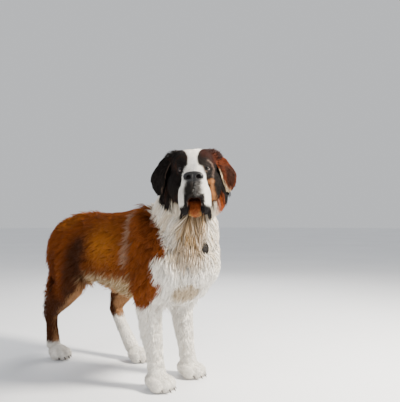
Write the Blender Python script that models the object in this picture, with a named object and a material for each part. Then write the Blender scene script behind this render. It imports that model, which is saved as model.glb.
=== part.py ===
"""A long-haired Saint Bernard, life size, standing still with its head turned to its right.

Metres, +Z up. The dog faces -Y, so its left side is +X. The origin is on the floor, under the
middle of the whole animal.
"""

import math
import random
from collections import namedtuple

import bmesh
import bpy
import numpy as np
from mathutils import Euler, Matrix, Vector
from mathutils.bvhtree import BVHTree

# Driving sizes
FORE_TRACK = 0.108  # from the middle line to each forefoot
HIND_TRACK = 0.115
FORE_FOOT_Y = {"right": -0.275, "left": -0.250}
HIND_FOOT_Y = {"right": 0.435, "left": 0.100}
EYE_LINE = Vector((-0.120, -0.500, 0.885))  # the point midway between the eyes
HEAD_YAW = math.radians(-49.0)
HEAD_PITCH = math.radians(-6.0)
HEAD_ROLL = math.radians(-2.5)
HEAD_SIZE = 1.12  # the head's rings below are for a head 0.33 m long
EYE_RADIUS = 0.0112  # in head space, as all of the head's sizes below

# Making
GAP = 0.0003  # between nodes that meet
TOUCH = 0.000001  # corners this close touch
DRAW_BACK = 0.00002  # and are drawn apart by this much
MOST_SHELL = 3.0  # how much further than a face a sharp corner moves when a copy is grown
SHORT_COAT = 0.010  # a coat up to this depth is solid
CORE_SHARE = 0.5  # how far the solid core reaches into a longer coat
MASS_COAT = 0.018
BODY_VOXEL = 0.008
HEAD_VOXEL = 0.004
BODY_TRIANGLES = 1850
HEAD_TRIANGLES = 1750
JAW_TRIANGLES = 220
PAW_TRIANGLES = 190
PAW_COAT = 0.004
PAW_TOP = 0.072  # height of the cut between a leg and its paw
RING_SIDES = 36  # round a form that is fused
FACETS = 14  # round a form that keeps its faces
EAR_SIDES = 12
SPAN_STEPS = 4

SIDES = {"right": -1.0, "left": 1.0}

# One ring of a limb: its middle, half its width, its reach above and below the middle, and the
# depth of the coat on it, with the coat below stated apart
Ring = namedtuple("Ring", "at side above below coat fringe")


def ring(x, y, z, side, above, below, coat=0.010, fringe=None):
    """A ring of a limb, in metres."""
    return Ring(Vector((x, y, z)), side, above, below, coat, coat if fringe is None else fringe)


TRUNK = [
    ring(0, -0.418, 0.500, 0.062, 0.070, 0.068, 0.030, 0.035),
    ring(0, -0.380, 0.505, 0.096, 0.115, 0.110, 0.034, 0.045),
    ring(0, -0.320, 0.525, 0.122, 0.155, 0.147, 0.030, 0.048),
    ring(0, -0.220, 0.540, 0.136, 0.192, 0.164, 0.024, 0.046),
    ring(0, -0.110, 0.545, 0.144, 0.188, 0.166, 0.022, 0.045),
    ring(0, 0.020, 0.550, 0.146, 0.164, 0.160, 0.020, 0.045),
    ring(0, 0.150, 0.560, 0.136, 0.148, 0.144, 0.020, 0.050),
    ring(0, 0.270, 0.572, 0.122, 0.136, 0.114, 0.020, 0.045),
    ring(0, 0.360, 0.575, 0.118, 0.128, 0.100, 0.020, 0.030),
    ring(0, 0.430, 0.575, 0.098, 0.108, 0.090, 0.020, 0.030),
    ring(0, 0.470, 0.575, 0.062, 0.070, 0.060, 0.020, 0.020),
]

NECK = [
    ring(0, -0.200, 0.610, 0.105, 0.105, 0.125, 0.020, 0.035),
    ring(0, -0.285, 0.675, 0.096, 0.086, 0.122, 0.034, 0.046),
    ring(-0.018, -0.350, 0.745, 0.092, 0.078, 0.104, 0.040, 0.052),
    ring(-0.036, -0.390, 0.812, 0.088, 0.080, 0.090, 0.034, 0.044),
    ring(-0.046, -0.404, 0.858, 0.070, 0.064, 0.060, 0.016, 0.020),
]
BREAST = [
    ring(-0.030, -0.405, 0.735, 0.070, 0.048, 0.050, 0.034, 0.040),
    ring(-0.014, -0.395, 0.650, 0.086, 0.052, 0.052, 0.036, 0.044),
    ring(-0.004, -0.388, 0.560, 0.096, 0.056, 0.056, 0.036, 0.044),
    ring(0.000, -0.370, 0.480, 0.096, 0.056, 0.060, 0.034, 0.040),
    ring(0.000, -0.300, 0.410, 0.080, 0.050, 0.050, 0.030, 0.036),
]
# Rounded masses of the trunk's left side: middle, reach along each axis
BODY_MASSES = {
    "shoulder_point": (Vector((0.098, -0.325, 0.500)), Vector((0.054, 0.060, 0.085))),
    "shoulder_blade": (Vector((0.088, -0.190, 0.620)), Vector((0.052, 0.085, 0.105))),
    "rump": (Vector((0.068, 0.400, 0.570)), Vector((0.066, 0.090, 0.110))),
    "flank": (Vector((0.098, 0.210, 0.500)), Vector((0.045, 0.100, 0.080))),
}


def fore_limb(side):
    """Rings of a foreleg's shoulder, upper arm and forearm."""
    s, foot = SIDES[side], FORE_FOOT_Y[side]
    t = FORE_TRACK * s
    shoulder = [
        ring(0.075 * s, -0.150, 0.680, 0.035, 0.055, 0.055, 0.015),
        ring(0.098 * s, -0.240, 0.590, 0.048, 0.075, 0.080, 0.018),
        ring(0.108 * s, -0.325, 0.500, 0.050, 0.062, 0.070, 0.022),
    ]
    upper_arm = [
        ring(0.108 * s, -0.330, 0.490, 0.046, 0.055, 0.055, 0.022),
        ring(0.116 * s, -0.275, 0.430, 0.050, 0.070, 0.070, 0.020),
        ring(0.118 * s, -0.225, 0.375, 0.038, 0.048, 0.045, 0.020),
    ]
    forearm = [
        ring(t, foot + 0.045, 0.405, 0.046, 0.056, 0.060, 0.014, 0.034),
        ring(t, foot + 0.030, 0.330, 0.041, 0.048, 0.050, 0.012, 0.040),
        ring(t, foot + 0.014, 0.240, 0.035, 0.036, 0.038, 0.010, 0.032),
        ring(t, foot + 0.006, 0.165, 0.034, 0.034, 0.034, 0.009, 0.016),
        ring(t, foot + 0.000, 0.110, 0.031, 0.032, 0.031, 0.009, 0.012),
        ring(t, foot - 0.010, 0.060, 0.036, 0.036, 0.034, 0.008, 0.008),
    ]
    return shoulder, upper_arm, forearm


def hind_limb(side):
    """Rings of a hind leg's thigh, lower thigh and pastern."""
    s, foot = SIDES[side], HIND_FOOT_Y[side]
    t = HIND_TRACK * s
    knee, hock = {
        "right": (Vector((0.128 * s, 0.265, 0.385)), Vector((t, 0.488, 0.212))),
        "left": (Vector((0.128 * s, 0.130, 0.410)), Vector((t, 0.262, 0.235))),
    }[side]
    hip = Vector((0.080 * s, 0.345, 0.605))
    middle = (hip + knee) / 2
    thigh = [
        ring(*hip, 0.056, 0.085, 0.100, 0.018, 0.040),
        ring(*(middle + Vector((0.010 * s, 0.020, 0.010))), 0.062, 0.090, 0.105, 0.020, 0.050),
        ring(*knee, 0.046, 0.052, 0.070, 0.018, 0.050),
    ]
    lower = [
        ring(*knee, 0.044, 0.050, 0.066, 0.016, 0.050),
        ring(*knee.lerp(hock, 0.45), 0.038, 0.042, 0.056, 0.014, 0.040),
        ring(*knee.lerp(hock, 0.85), 0.028, 0.028, 0.030, 0.010, 0.016),
        ring(*hock, 0.026, 0.028, 0.026, 0.008, 0.010),
    ]
    ankle = Vector((t, foot + 0.030, 0.060))
    pastern = [
        ring(*(hock + Vector((0, -0.006, 0.004))), 0.026, 0.030, 0.028, 0.008, 0.012),
        ring(*hock.lerp(ankle, 0.45), 0.025, 0.027, 0.027, 0.008, 0.012),
        ring(*ankle, 0.032, 0.034, 0.030, 0.008, 0.008),
    ]
    return thigh, lower, pastern


TAIL = [
    ring(0.000, 0.430, 0.640, 0.034, 0.034, 0.034, 0.020, 0.020),
    ring(-0.005, 0.492, 0.628, 0.030, 0.030, 0.030, 0.024, 0.026),
    ring(-0.013, 0.526, 0.570, 0.024, 0.024, 0.024, 0.028, 0.034),
    ring(-0.024, 0.542, 0.490, 0.021, 0.021, 0.021, 0.034, 0.040),
    ring(-0.035, 0.550, 0.400, 0.018, 0.018, 0.018, 0.038, 0.044),
    ring(-0.045, 0.560, 0.315, 0.015, 0.015, 0.015, 0.036, 0.042),
    ring(-0.053, 0.576, 0.240, 0.011, 0.011, 0.011, 0.028, 0.032),
    ring(-0.058, 0.596, 0.185, 0.006, 0.006, 0.006, 0.010, 0.012),
]

# The head, in its own frame: origin midway between the eyes, +X its left, -Y to the nose, +Z up
SKULL = [
    ring(0, 0.160, 0.002, 0.054, 0.040, 0.050, 0.010),
    ring(0, 0.130, 0.010, 0.072, 0.058, 0.066, 0.009),
    ring(0, 0.095, 0.014, 0.080, 0.068, 0.076, 0.008),
    ring(0, 0.050, 0.014, 0.080, 0.069, 0.078, 0.007),
    ring(0, 0.018, 0.006, 0.070, 0.060, 0.070, 0.006),
    ring(0, -0.004, -0.010, 0.056, 0.044, 0.054, 0.005),
    ring(0, -0.018, -0.028, 0.044, 0.026, 0.040, 0.004),
]
MUZZLE = [
    ring(0, 0.030, -0.060, 0.058, 0.045, 0.050, 0.004),
    ring(0, -0.015, -0.062, 0.045, 0.045, 0.052, 0.003),
    ring(0, -0.055, -0.064, 0.040, 0.047, 0.050, 0.003),
    ring(0, -0.086, -0.064, 0.039, 0.045, 0.048, 0.003),
    ring(0, -0.106, -0.062, 0.034, 0.034, 0.044, 0.003),
]
# The loose upper lips, which hang low on both sides of the mouth
LIPS = [
    ring(0, 0.060, -0.086, 0.052, 0.030, 0.026, 0.004),
    ring(0, 0.022, -0.098, 0.051, 0.044, 0.048, 0.003),
    ring(0, -0.020, -0.104, 0.050, 0.052, 0.058, 0.003),
    ring(0, -0.060, -0.104, 0.049, 0.052, 0.061, 0.003),
    ring(0, -0.084, -0.102, 0.045, 0.048, 0.058, 0.003),
    ring(0, -0.098, -0.096, 0.036, 0.036, 0.048, 0.003),
]
# The opening of the mouth between the lips, seen from the front an arch
MOUTH = [
    ring(0, -0.150, -0.152, 0.026, 0.046, 0.050),
    ring(0, -0.100, -0.152, 0.027, 0.046, 0.050),
    ring(0, -0.060, -0.152, 0.030, 0.040, 0.050),
    ring(0, -0.010, -0.152, 0.032, 0.030, 0.050),
    ring(0, 0.030, -0.152, 0.029, 0.016, 0.040),
]
JAW = [
    ring(0, 0.060, -0.104, 0.042, 0.026, 0.036, 0.003),
    ring(0, 0.015, -0.124, 0.032, 0.024, 0.029, 0.003),
    ring(0, -0.028, -0.135, 0.027, 0.024, 0.027, 0.003),
    ring(0, -0.062, -0.136, 0.025, 0.025, 0.026, 0.003),
    ring(0, -0.082, -0.136, 0.020, 0.021, 0.021, 0.002),
]

# Rounded masses of the head's left side: middle, reach along each axis
HEAD_MASSES = {
    "cheek": (Vector((0.058, 0.064, -0.054)), Vector((0.044, 0.072, 0.066))),
    "behind_ear": (Vector((0.074, 0.106, -0.020)), Vector((0.042, 0.044, 0.076))),
    "cheekbone": (Vector((0.046, 0.036, -0.028)), Vector((0.036, 0.050, 0.036))),
    "brow": (Vector((0.038, 0.010, 0.022)), Vector((0.028, 0.020, 0.016))),
    "throat": (Vector((0.030, 0.090, -0.074)), Vector((0.054, 0.062, 0.050))),
    "upper_lip": (Vector((0.019, -0.092, -0.090)), Vector((0.024, 0.022, 0.034))),
}
NOSE_AT = Vector((0, -0.108, -0.045))
NOSE_WIDE, NOSE_TALL = 0.033, 0.0205  # half sizes of the nose pad
# Rings of the nose pad: how far each lies from its middle, and its share of the full size
NOSE_RINGS = ((0.022, 0.70), (0.006, 0.96), (-0.005, 1.0), (-0.012, 0.90), (-0.017, 0.66))
NOSTRILS = (
    (Vector((0.0160, -0.017, -0.002)), Vector((0.0074, 0.012, 0.0074))),
    (Vector((0.0250, -0.014, -0.005)), Vector((0.0090, 0.010, 0.0030))),
)
EYE_AT = Vector((0.0425, -0.012, 0.000))
EYE_WAY = Vector((0.30, -0.95, 0.02))  # where the left eye looks
LID_THICK = 0.0040
LID_OPEN = Vector((0.0125, 0.0180, 0.0074))  # half the opening between the lids: wide, deep, tall

# The left ear flap in head space: middle, half its width, half its thickness, the curl of its edges
EAR = [
    (Vector((0.056, 0.070, 0.067)), 0.022, 0.010, 0.001),
    (Vector((0.078, 0.071, 0.064)), 0.032, 0.010, 0.003),
    (Vector((0.100, 0.072, 0.047)), 0.041, 0.009, 0.006),
    (Vector((0.119, 0.073, 0.026)), 0.049, 0.008, 0.009),
    (Vector((0.131, 0.074, 0.002)), 0.052, 0.007, 0.010),
    (Vector((0.131, 0.074, -0.024)), 0.045, 0.006, 0.008),
    (Vector((0.126, 0.073, -0.048)), 0.030, 0.005, 0.004),
    (Vector((0.121, 0.072, -0.066)), 0.010, 0.004, 0.001),
]
EAR_WIDTH_WAY = Vector((0.60, 0.80, 0.0))  # from the ear's front edge to its back edge

# Where the neck is parted from the trunk
NECK_CUT_AT = Vector((0, -0.310, 0.670))
NECK_CUT_WAY = Vector((0, -0.74, 0.67))

# Toes of a paw: how far each lies across and ahead
TOES = ((-0.037, -0.042), (-0.013, -0.062), (0.013, -0.062), (0.037, -0.042))

# Collar and tag
COLLAR_AT = Vector((-0.012, -0.365, 0.706))  # middle of the collar
COLLAR_WAY = Vector((-0.05, -0.60, 0.80))  # along the neck
COLLAR_WIDE, COLLAR_DEEP, COLLAR_PROUD = 0.025, 0.005, 0.0015
TAG_X, TAG_Z = -0.030, 0.577  # where the tag hangs on the front of the throat
TAG_DEPTH = 0.75  # how far out the tag lies between the coat's core and its tips
TAG_WIDE, TAG_TALL, TAG_THICK, TAG_HOLE, TAG_HOLE_DROP = 0.026, 0.040, 0.0022, 0.0076, 0.0066
TAG_SIDES = 14
TAG_VIEW, TAG_EDGE = 0.060, 0.004  # how far in front of the tag and beside it no lock hangs
RING_LEAST, RING_BITE, RING_WIRE, RING_TURNS, RING_FACETS = 0.0080, 0.0015, 0.0011, 12, 5

# Locks of the long coat on each node: how far apart they grow, how long and how wide they are
Locks = namedtuple("Locks", "spacing length wide")
LOCKS = {
    "head": Locks(0.034, 0.085, 0.034),
    "neck": Locks(0.053, 0.165, 0.050),
    "torso": Locks(0.104, 0.190, 0.070),
    "hindleg_right": Locks(0.086, 0.145, 0.058),
    "hindleg_left": Locks(0.086, 0.145, 0.058),
    "foreleg_right": Locks(0.072, 0.095, 0.044),
    "foreleg_left": Locks(0.072, 0.095, 0.044),
    "tail": Locks(0.083, 0.160, 0.052),
}
LOCK_THICK = 0.10  # of a lock's width
LOCK_PROFILE = (0.80, 1.0, 0.90, 0.60, 0.0)  # width at each point from root to tip
LOCK_RISE = (0.0, 0.55, 0.88, 1.0, 1.0)  # how far it has risen to the coat's tips there
LOCK_SINK = 0.008
LOCK_START = 0.4  # how much of its first step a lock starts behind its root
LOCK_CLING = 0.6  # how closely a lock follows the form below it
LOCK_RANGE = (0.8, 1.15)  # how its length and width vary
RISE_RANGE = (0.85, 1.1)
MOST_RISE = 0.08
ROOT_FACING = 0.7  # a root's face turns at most so far from the coat's, or it lies in a cut
ROOT_APART = 0.004  # and it lies at most so far from it
ROOT_TRIES = 30
UNDERSIDE = 0.4  # how much of a lock's half thickness lies below its middle
LOCK_SWING = 0.25  # how far a lock turns aside on its way
CHEEK_LOCKS_AT = Vector((0.094, 0.098, -0.070))  # on the left cheek, in head space
CHEEK_LOCKS_REACH = 0.048
CHEEK_LOCKS_RISE = 0.012
CHEEK_LIE = Vector((0.10, 0.25, -1.0))
LEAST_RISE = 0.005  # locks grow only where the coat stands at least this far over its core
SEED = 42

# How the coat lies: a place on the dog's left side and the way the hair lies there
LIE = (
    ((0.00, -0.20, 0.78), (0.10, 0.90, -0.30)),
    ((0.00, 0.10, 0.75), (0.12, 1.00, -0.05)),
    ((0.00, 0.40, 0.72), (0.15, 1.00, -0.25)),
    ((0.15, -0.10, 0.60), (0.05, 0.85, -0.55)),
    ((0.16, 0.05, 0.55), (0.05, 0.90, -0.45)),
    ((0.16, 0.20, 0.56), (0.05, 0.90, -0.45)),
    ((0.14, -0.05, 0.42), (0.00, 0.75, -0.70)),
    ((0.12, 0.10, 0.40), (-0.05, 0.75, -0.75)),
    ((0.00, 0.00, 0.36), (0.00, 0.90, -0.40)),
    ((0.00, 0.20, 0.42), (0.00, 0.80, -0.55)),
    ((0.12, -0.32, 0.55), (0.15, 0.35, -0.90)),
    ((0.14, -0.22, 0.66), (0.15, 0.70, -0.65)),
    ((0.10, -0.30, 0.78), (0.25, 0.60, -0.75)),
    ((0.00, -0.26, 0.86), (0.00, 0.80, -0.60)),
    ((0.10, -0.42, 0.74), (0.25, 0.10, -0.95)),
    ((0.03, -0.50, 0.72), (0.10, -0.10, -1.00)),
    ((0.03, -0.48, 0.60), (0.05, -0.10, -1.00)),
    ((0.10, -0.42, 0.58), (0.10, 0.10, -1.00)),
    ((0.03, -0.45, 0.47), (0.00, 0.10, -1.00)),
    ((0.05, -0.36, 0.38), (0.00, 0.20, -1.00)),
    ((0.14, 0.36, 0.62), (0.10, 0.85, -0.55)),
    ((0.15, 0.30, 0.48), (0.05, 0.60, -0.80)),
    ((0.12, 0.46, 0.55), (0.05, 0.55, -0.90)),
    ((0.10, 0.44, 0.40), (0.00, 0.45, -0.95)),
    ((0.12, 0.40, 0.28), (0.00, 0.40, -0.95)),
    ((0.12, -0.24, 0.36), (0.00, 0.55, -0.85)),
    ((0.11, -0.22, 0.25), (0.00, 0.50, -0.90)),
    ((0.00, 0.54, 0.55), (0.00, 0.15, -1.00)),
    ((0.00, 0.56, 0.30), (0.00, 0.20, -1.00)),
)
LIE_REACH = 0.09  # how far each of these has its say

# Finish of each node, by how its name starts: colour, roughness, metallic
FINISHES = {
    "torso": ((0.30, 0.085, 0.018), 0.85, 0.0),
    "neck": ((0.72, 0.62, 0.47), 0.85, 0.0),
    "head": ((0.045, 0.025, 0.018), 0.80, 0.0),
    "lower_jaw": ((0.30, 0.10, 0.030), 0.80, 0.0),
    "nose": ((0.012, 0.012, 0.013), 0.35, 0.0),
    "eye": ((0.020, 0.009, 0.004), 0.08, 0.0),
    "ear_right": ((0.030, 0.016, 0.011), 0.85, 0.0),
    "ear_left": ((0.22, 0.052, 0.016), 0.85, 0.0),
    "foreleg": ((0.72, 0.66, 0.56), 0.85, 0.0),
    "hindleg": ((0.16, 0.050, 0.014), 0.85, 0.0),
    "paw": ((0.66, 0.60, 0.50), 0.85, 0.0),
    "tail": ((0.24, 0.070, 0.018), 0.85, 0.0),
    "collar": ((0.10, 0.060, 0.040), 0.55, 0.0),
    "tag": ((0.16, 0.15, 0.14), 0.35, 1.0),
}


def head_matrix():
    """From head space to the world."""
    turn = Euler((HEAD_PITCH, HEAD_ROLL, HEAD_YAW), "XYZ").to_matrix().to_4x4()
    return Matrix.Translation(EYE_LINE) @ turn @ Matrix.Scale(HEAD_SIZE, 4)


def clear_scene():
    """Removes what the scene holds."""
    for old in list(bpy.data.objects):
        bpy.data.objects.remove(old)


def material(name, colour, roughness=0.8, metallic=0.0):
    """A Principled material."""
    made = bpy.data.materials.new(name)
    made.use_nodes = True
    shader = made.node_tree.nodes["Principled BSDF"]
    shader.inputs["Base Color"].default_value = (*colour, 1)
    shader.inputs["Roughness"].default_value = roughness
    shader.inputs["Metallic"].default_value = metallic
    return made


def whole_depth(coat):
    """The coat out to its tips."""
    return coat


def core_depth(coat):
    """The coat's solid core: all of a short coat, half the way into a long one."""
    return max(min(coat, SHORT_COAT), CORE_SHARE * coat)


def no_depth(coat):
    """No coat at all."""
    return 0.0 * coat


def smooth_rings(rings, steps):
    """The rings of a limb with this many steps on each span, on a smooth curve through them."""
    rows = np.array([[*r.at, r.side, r.above, r.below, r.coat, r.fringe] for r in rings])
    padded = np.vstack([2 * rows[0] - rows[1], rows, 2 * rows[-1] - rows[-2]])
    out = []
    for i in range(len(rows) - 1):
        p0, p1, p2, p3 = padded[i:i + 4]
        for t in np.arange(steps) / steps:
            out.append(0.5 * (2 * p1 + (p2 - p0) * t + (2 * p0 - 5 * p1 + 4 * p2 - p3) * t ** 2
                              + (3 * p1 - p0 - 3 * p2 + p3) * t ** 3))
    out.append(rows[-1])
    return [Ring(Vector(r[:3]), *r[3:]) for r in out]


def section(r, across, over, fill, power, sides, shrink=1.0, shift=Vector()):
    """The points of one ring's outline, an egg whose corners fill out as power grows past 2."""
    points = []
    for k in range(sides):
        a = 2 * math.pi * k / sides
        c, s = math.cos(a), math.sin(a)
        c = math.copysign(abs(c) ** (2 / power), c)
        s = math.copysign(abs(s) ** (2 / power), s)
        reach_side = r.side + fill(r.coat + (r.fringe - r.coat) * 0.15 * (1 - s))
        reach = (r.above + fill(r.coat)) if s > 0 else (r.below + fill(r.fringe))
        points.append(r.at + shift + (across * c * reach_side + over * s * reach) * shrink)
    return points


def limb(mesh, rings, up=Vector((0, 0, 1)), fill=whole_depth, power=2.0, sides=RING_SIDES,
         steps=SPAN_STEPS):
    """Adds to the bmesh a closed limb through these rings, with round ends."""
    rings = smooth_rings(rings, steps)
    last = len(rings) - 1
    loops = []
    for i, r in enumerate(rings):
        way = (rings[min(i + 1, last)].at - rings[max(i - 1, 0)].at).normalized()
        across = way.cross(up).normalized()
        over = across.cross(way)
        loops.append(section(r, across, over, fill, power, sides))
        if i in (0, last):
            bulge = (-way if i == 0 else way) * min(r.side, r.above) * 0.6
            caps = [section(r, across, over, fill, power, sides, math.cos(a), bulge * math.sin(a))
                    for a in (0.6, 1.1)]
            loops[-1:] = caps[::-1] + loops[-1:] if i == 0 else loops[-1:] + caps
    bridge(mesh, loops)


def bridge(mesh, loops):
    """Joins rows of points into a closed tube."""
    rows = [[mesh.verts.new(p) for p in loop] for loop in loops]
    count = len(rows[0])
    for a, b in zip(rows, rows[1:]):
        for k in range(count):
            n = (k + 1) % count
            mesh.faces.new((a[k], a[n], b[n], b[k]))
    mesh.faces.new(rows[0][::-1])
    mesh.faces.new(rows[-1])


def mass(mesh, at, reach, turn=Matrix()):
    """Adds to the bmesh a rounded mass."""
    place = Matrix.Translation(at) @ turn @ Matrix.Diagonal((*reach, 1))
    bmesh.ops.create_icosphere(mesh, subdivisions=3, radius=1, matrix=place)


def new_object(name, mesh, where=Matrix()):
    """An object that holds the bmesh, made of triangles and moved by this matrix."""
    bmesh.ops.recalc_face_normals(mesh, faces=mesh.faces)
    bmesh.ops.triangulate(mesh, faces=mesh.faces)
    data = bpy.data.meshes.new(name)
    mesh.to_mesh(data)
    mesh.free()
    data.transform(where)
    made = bpy.data.objects.new(name, data)
    bpy.context.collection.objects.link(made)
    return made


def apply_modifier(obj, kind, **values):
    """Adds a modifier with these values and applies it."""
    modifier = obj.modifiers.new(kind.lower(), kind)
    for key, value in values.items():
        setattr(modifier, key, value)
    with bpy.context.temp_override(object=obj, active_object=obj, selected_objects=[obj]):
        bpy.ops.object.modifier_apply(modifier=modifier.name)


def fuse(obj, voxel, smoothing):
    """Makes the object's overlapping shells one smooth skin."""
    apply_modifier(obj, "REMESH", mode="VOXEL", voxel_size=voxel)
    apply_modifier(obj, "SMOOTH", factor=0.5, iterations=smoothing)


def boolean(obj, others, operation, solver="MANIFOLD"):
    """Cuts, joins or keeps what is common, with these closed objects, and removes them."""
    tools = bpy.data.collections.new("tools")
    bpy.context.scene.collection.children.link(tools)
    for other in others:
        tools.objects.link(other)
    apply_modifier(obj, "BOOLEAN", operand_type="COLLECTION", collection=tools,
                   operation=operation, solver=solver)
    for other in others:
        bpy.data.objects.remove(other)
    bpy.data.collections.remove(tools)


def copy_of(obj, name, grown=0.0):
    """A copy of the object, its skin moved out by this much."""
    made = bpy.data.objects.new(name, obj.data.copy())
    bpy.context.collection.objects.link(made)
    if grown:
        shape = bmesh.new()
        shape.from_mesh(made.data)
        shape.normal_update()
        for v in shape.verts:
            v.co += v.normal * grown * min(v.calc_shell_factor(), MOST_SHELL)
        shape.to_mesh(made.data)
        shape.free()
    return made


def keep_largest(obj):
    """Keeps only the largest closed surface of the object."""
    shape = bmesh.new()
    shape.from_mesh(obj.data)
    shape.faces.ensure_lookup_table()
    left = set(shape.faces)
    shells = []
    while left:
        edge_faces = [left.pop()]
        shell = set(edge_faces)
        while edge_faces:
            for edge in edge_faces.pop().edges:
                for face in edge.link_faces:
                    if face in left:
                        left.remove(face)
                        shell.add(face)
                        edge_faces.append(face)
        shells.append(shell)
    shells.sort(key=lambda shell: sum(face.calc_area() for face in shell))
    loose = [face for shell in shells[:-1] for face in shell]
    bmesh.ops.delete(shape, geom=loose, context="FACES")
    shape.to_mesh(obj.data)
    shape.free()


def part_touching(obj):
    """Draws back by a hair the corners where the object's skin touches itself."""
    shape = bmesh.new()
    shape.from_mesh(obj.data)
    shape.normal_update()
    places = {}
    for v in shape.verts:
        places.setdefault(tuple(round(c / TOUCH) for c in v.co), []).append(v)
    for corners in places.values():
        for v in corners if len(corners) > 1 else ():
            v.co -= v.normal * DRAW_BACK
    shape.to_mesh(obj.data)
    shape.free()


def tidy(obj):
    """Keeps the object's largest surface and splits its faces into triangles that leave it closed."""
    keep_largest(obj)
    part_touching(obj)
    for quads, rest in (("BEAUTY", "BEAUTY"), ("FIXED", "EAR_CLIP"), ("ALTERNATE", "EAR_CLIP"),
                        ("LONG_EDGE", "BEAUTY")):
        shape = bmesh.new()
        shape.from_mesh(obj.data)
        bmesh.ops.triangulate(shape, faces=shape.faces, quad_method=quads, ngon_method=rest)
        closed = all(len(edge.link_faces) == 2 for edge in shape.edges)
        if closed:
            shape.to_mesh(obj.data)
        shape.free()
        if closed:
            break


def box(name, low, high, where=Matrix()):
    """A box between two corners, moved by this matrix."""
    mesh = bmesh.new()
    low, high = Vector(low), Vector(high)
    place = Matrix.Translation((low + high) / 2) @ Matrix.Diagonal((*(high - low), 1))
    bmesh.ops.create_cube(mesh, size=1, matrix=where @ place)
    return new_object(name, mesh)


def thin(obj, triangles):
    """Brings the object's mesh down to about this many triangles."""
    count = sum(len(face.vertices) - 2 for face in obj.data.polygons)
    apply_modifier(obj, "DECIMATE", ratio=min(1.0, triangles / count),
                   use_collapse_triangulate=True)


def turned(way, up=Vector((0, 0, 1))):
    """A turn that brings -Y to this direction and keeps Z close to up."""
    back = -way.normalized()
    side = back.cross(up).normalized()
    return Matrix((side, back, side.cross(back))).transposed().to_4x4()


def body_form(fill):
    """The trunk, neck and legs in one bmesh."""
    mesh = bmesh.new()
    limb(mesh, TRUNK, fill=fill)
    limb(mesh, NECK, fill=fill)
    limb(mesh, BREAST, up=Vector((0, 1, 0)), fill=fill)
    for side, s in SIDES.items():
        for rings in (*fore_limb(side), *hind_limb(side)):
            limb(mesh, rings, up=Vector((0, -1, 0)), fill=fill)
        for at, reach in BODY_MASSES.values():
            mass(mesh, Vector((at.x * s, at.y, at.z)), reach + Vector((1, 1, 1)) * fill(MASS_COAT))
    return mesh


def paw_form(side, end):
    """A paw with its four toes and the end of the leg above it, in one bmesh."""
    mesh = bmesh.new()
    s = SIDES[side]
    track, foot = (FORE_TRACK, FORE_FOOT_Y) if end == "fore" else (HIND_TRACK, HIND_FOOT_Y)
    size = 1.0 if end == "fore" else 0.92
    coat = PAW_COAT
    at = Vector((track * s, foot[side], 0.0))
    leg = fore_limb(side)[2] if end == "fore" else hind_limb(side)[2]
    limb(mesh, leg[-3:], up=Vector((0, -1, 0)))
    mass(mesh, at + Vector((0, -0.012, 0.036 * size)),
         Vector((0.045 * size + coat, 0.056 * size + coat, 0.036 * size + coat)))
    for across, ahead in TOES:
        mass(mesh, at + Vector((across * size, ahead * size, 0.026 * size)),
             Vector((0.0175 * size + coat, 0.033 * size + coat, 0.026 * size + coat)))
    return mesh


def claws(side, end):
    """The four claws of a paw, as closed objects."""
    s = SIDES[side]
    track, foot = (FORE_TRACK, FORE_FOOT_Y) if end == "fore" else (HIND_TRACK, HIND_FOOT_Y)
    size = 1.0 if end == "fore" else 0.92
    made = []
    for across, ahead in TOES:
        mesh = bmesh.new()
        root = Vector((track * s + across * size, foot[side] + (ahead - 0.030) * size, 0.017 * size))
        tip = root + Vector((0, -0.017, -0.0125)) * size
        lean = (tip - root).to_track_quat("Z", "Y").to_matrix().to_4x4()
        bmesh.ops.create_cone(mesh, cap_ends=True, segments=6, radius1=0.0042 * size,
                              radius2=0.0010, depth=(tip - root).length,
                              matrix=Matrix.Translation((root + tip) / 2) @ lean)
        made.append(new_object("claw", mesh))
    return made


def head_form():
    """The skull, muzzle, flews and cheeks in one bmesh, in head space."""
    mesh = bmesh.new()
    limb(mesh, SKULL, power=3.0)
    limb(mesh, MUZZLE, power=2.6)
    limb(mesh, LIPS, power=3.2)
    for s in SIDES.values():
        for at, reach in HEAD_MASSES.values():
            mass(mesh, Vector((at.x * s, at.y, at.z)), reach)
        mass(mesh, Vector((EYE_AT.x * s, EYE_AT.y, EYE_AT.z)),
             Vector((EYE_RADIUS + LID_THICK,) * 3))
    return mesh


def nose_form():
    """The nose pad, wider at its top, in head space."""
    mesh = bmesh.new()
    loops = []
    for along, scale in NOSE_RINGS:
        loop = []
        for k in range(FACETS):
            a = 2 * math.pi * k / FACETS
            c, s = math.cos(a), math.sin(a)
            loop.append(NOSE_AT + Vector((NOSE_WIDE * scale * c * (1 + 0.16 * s), along,
                                          NOSE_TALL * scale * s)))
        loops.append(loop)
    bridge(mesh, loops)
    return mesh


def nostrils():
    """The four hollows that open the nose pad, as closed objects in the world."""
    made = []
    for s in SIDES.values():
        for at, reach in NOSTRILS:
            mesh = bmesh.new()
            place = Matrix.Translation(NOSE_AT + Vector((at.x * s, at.y, at.z)))
            bmesh.ops.create_uvsphere(mesh, u_segments=8, v_segments=5, radius=1,
                                      matrix=place @ Matrix.Diagonal((*reach, 1)))
            made.append(new_object("nostril", mesh, head_matrix()))
    return made


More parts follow.
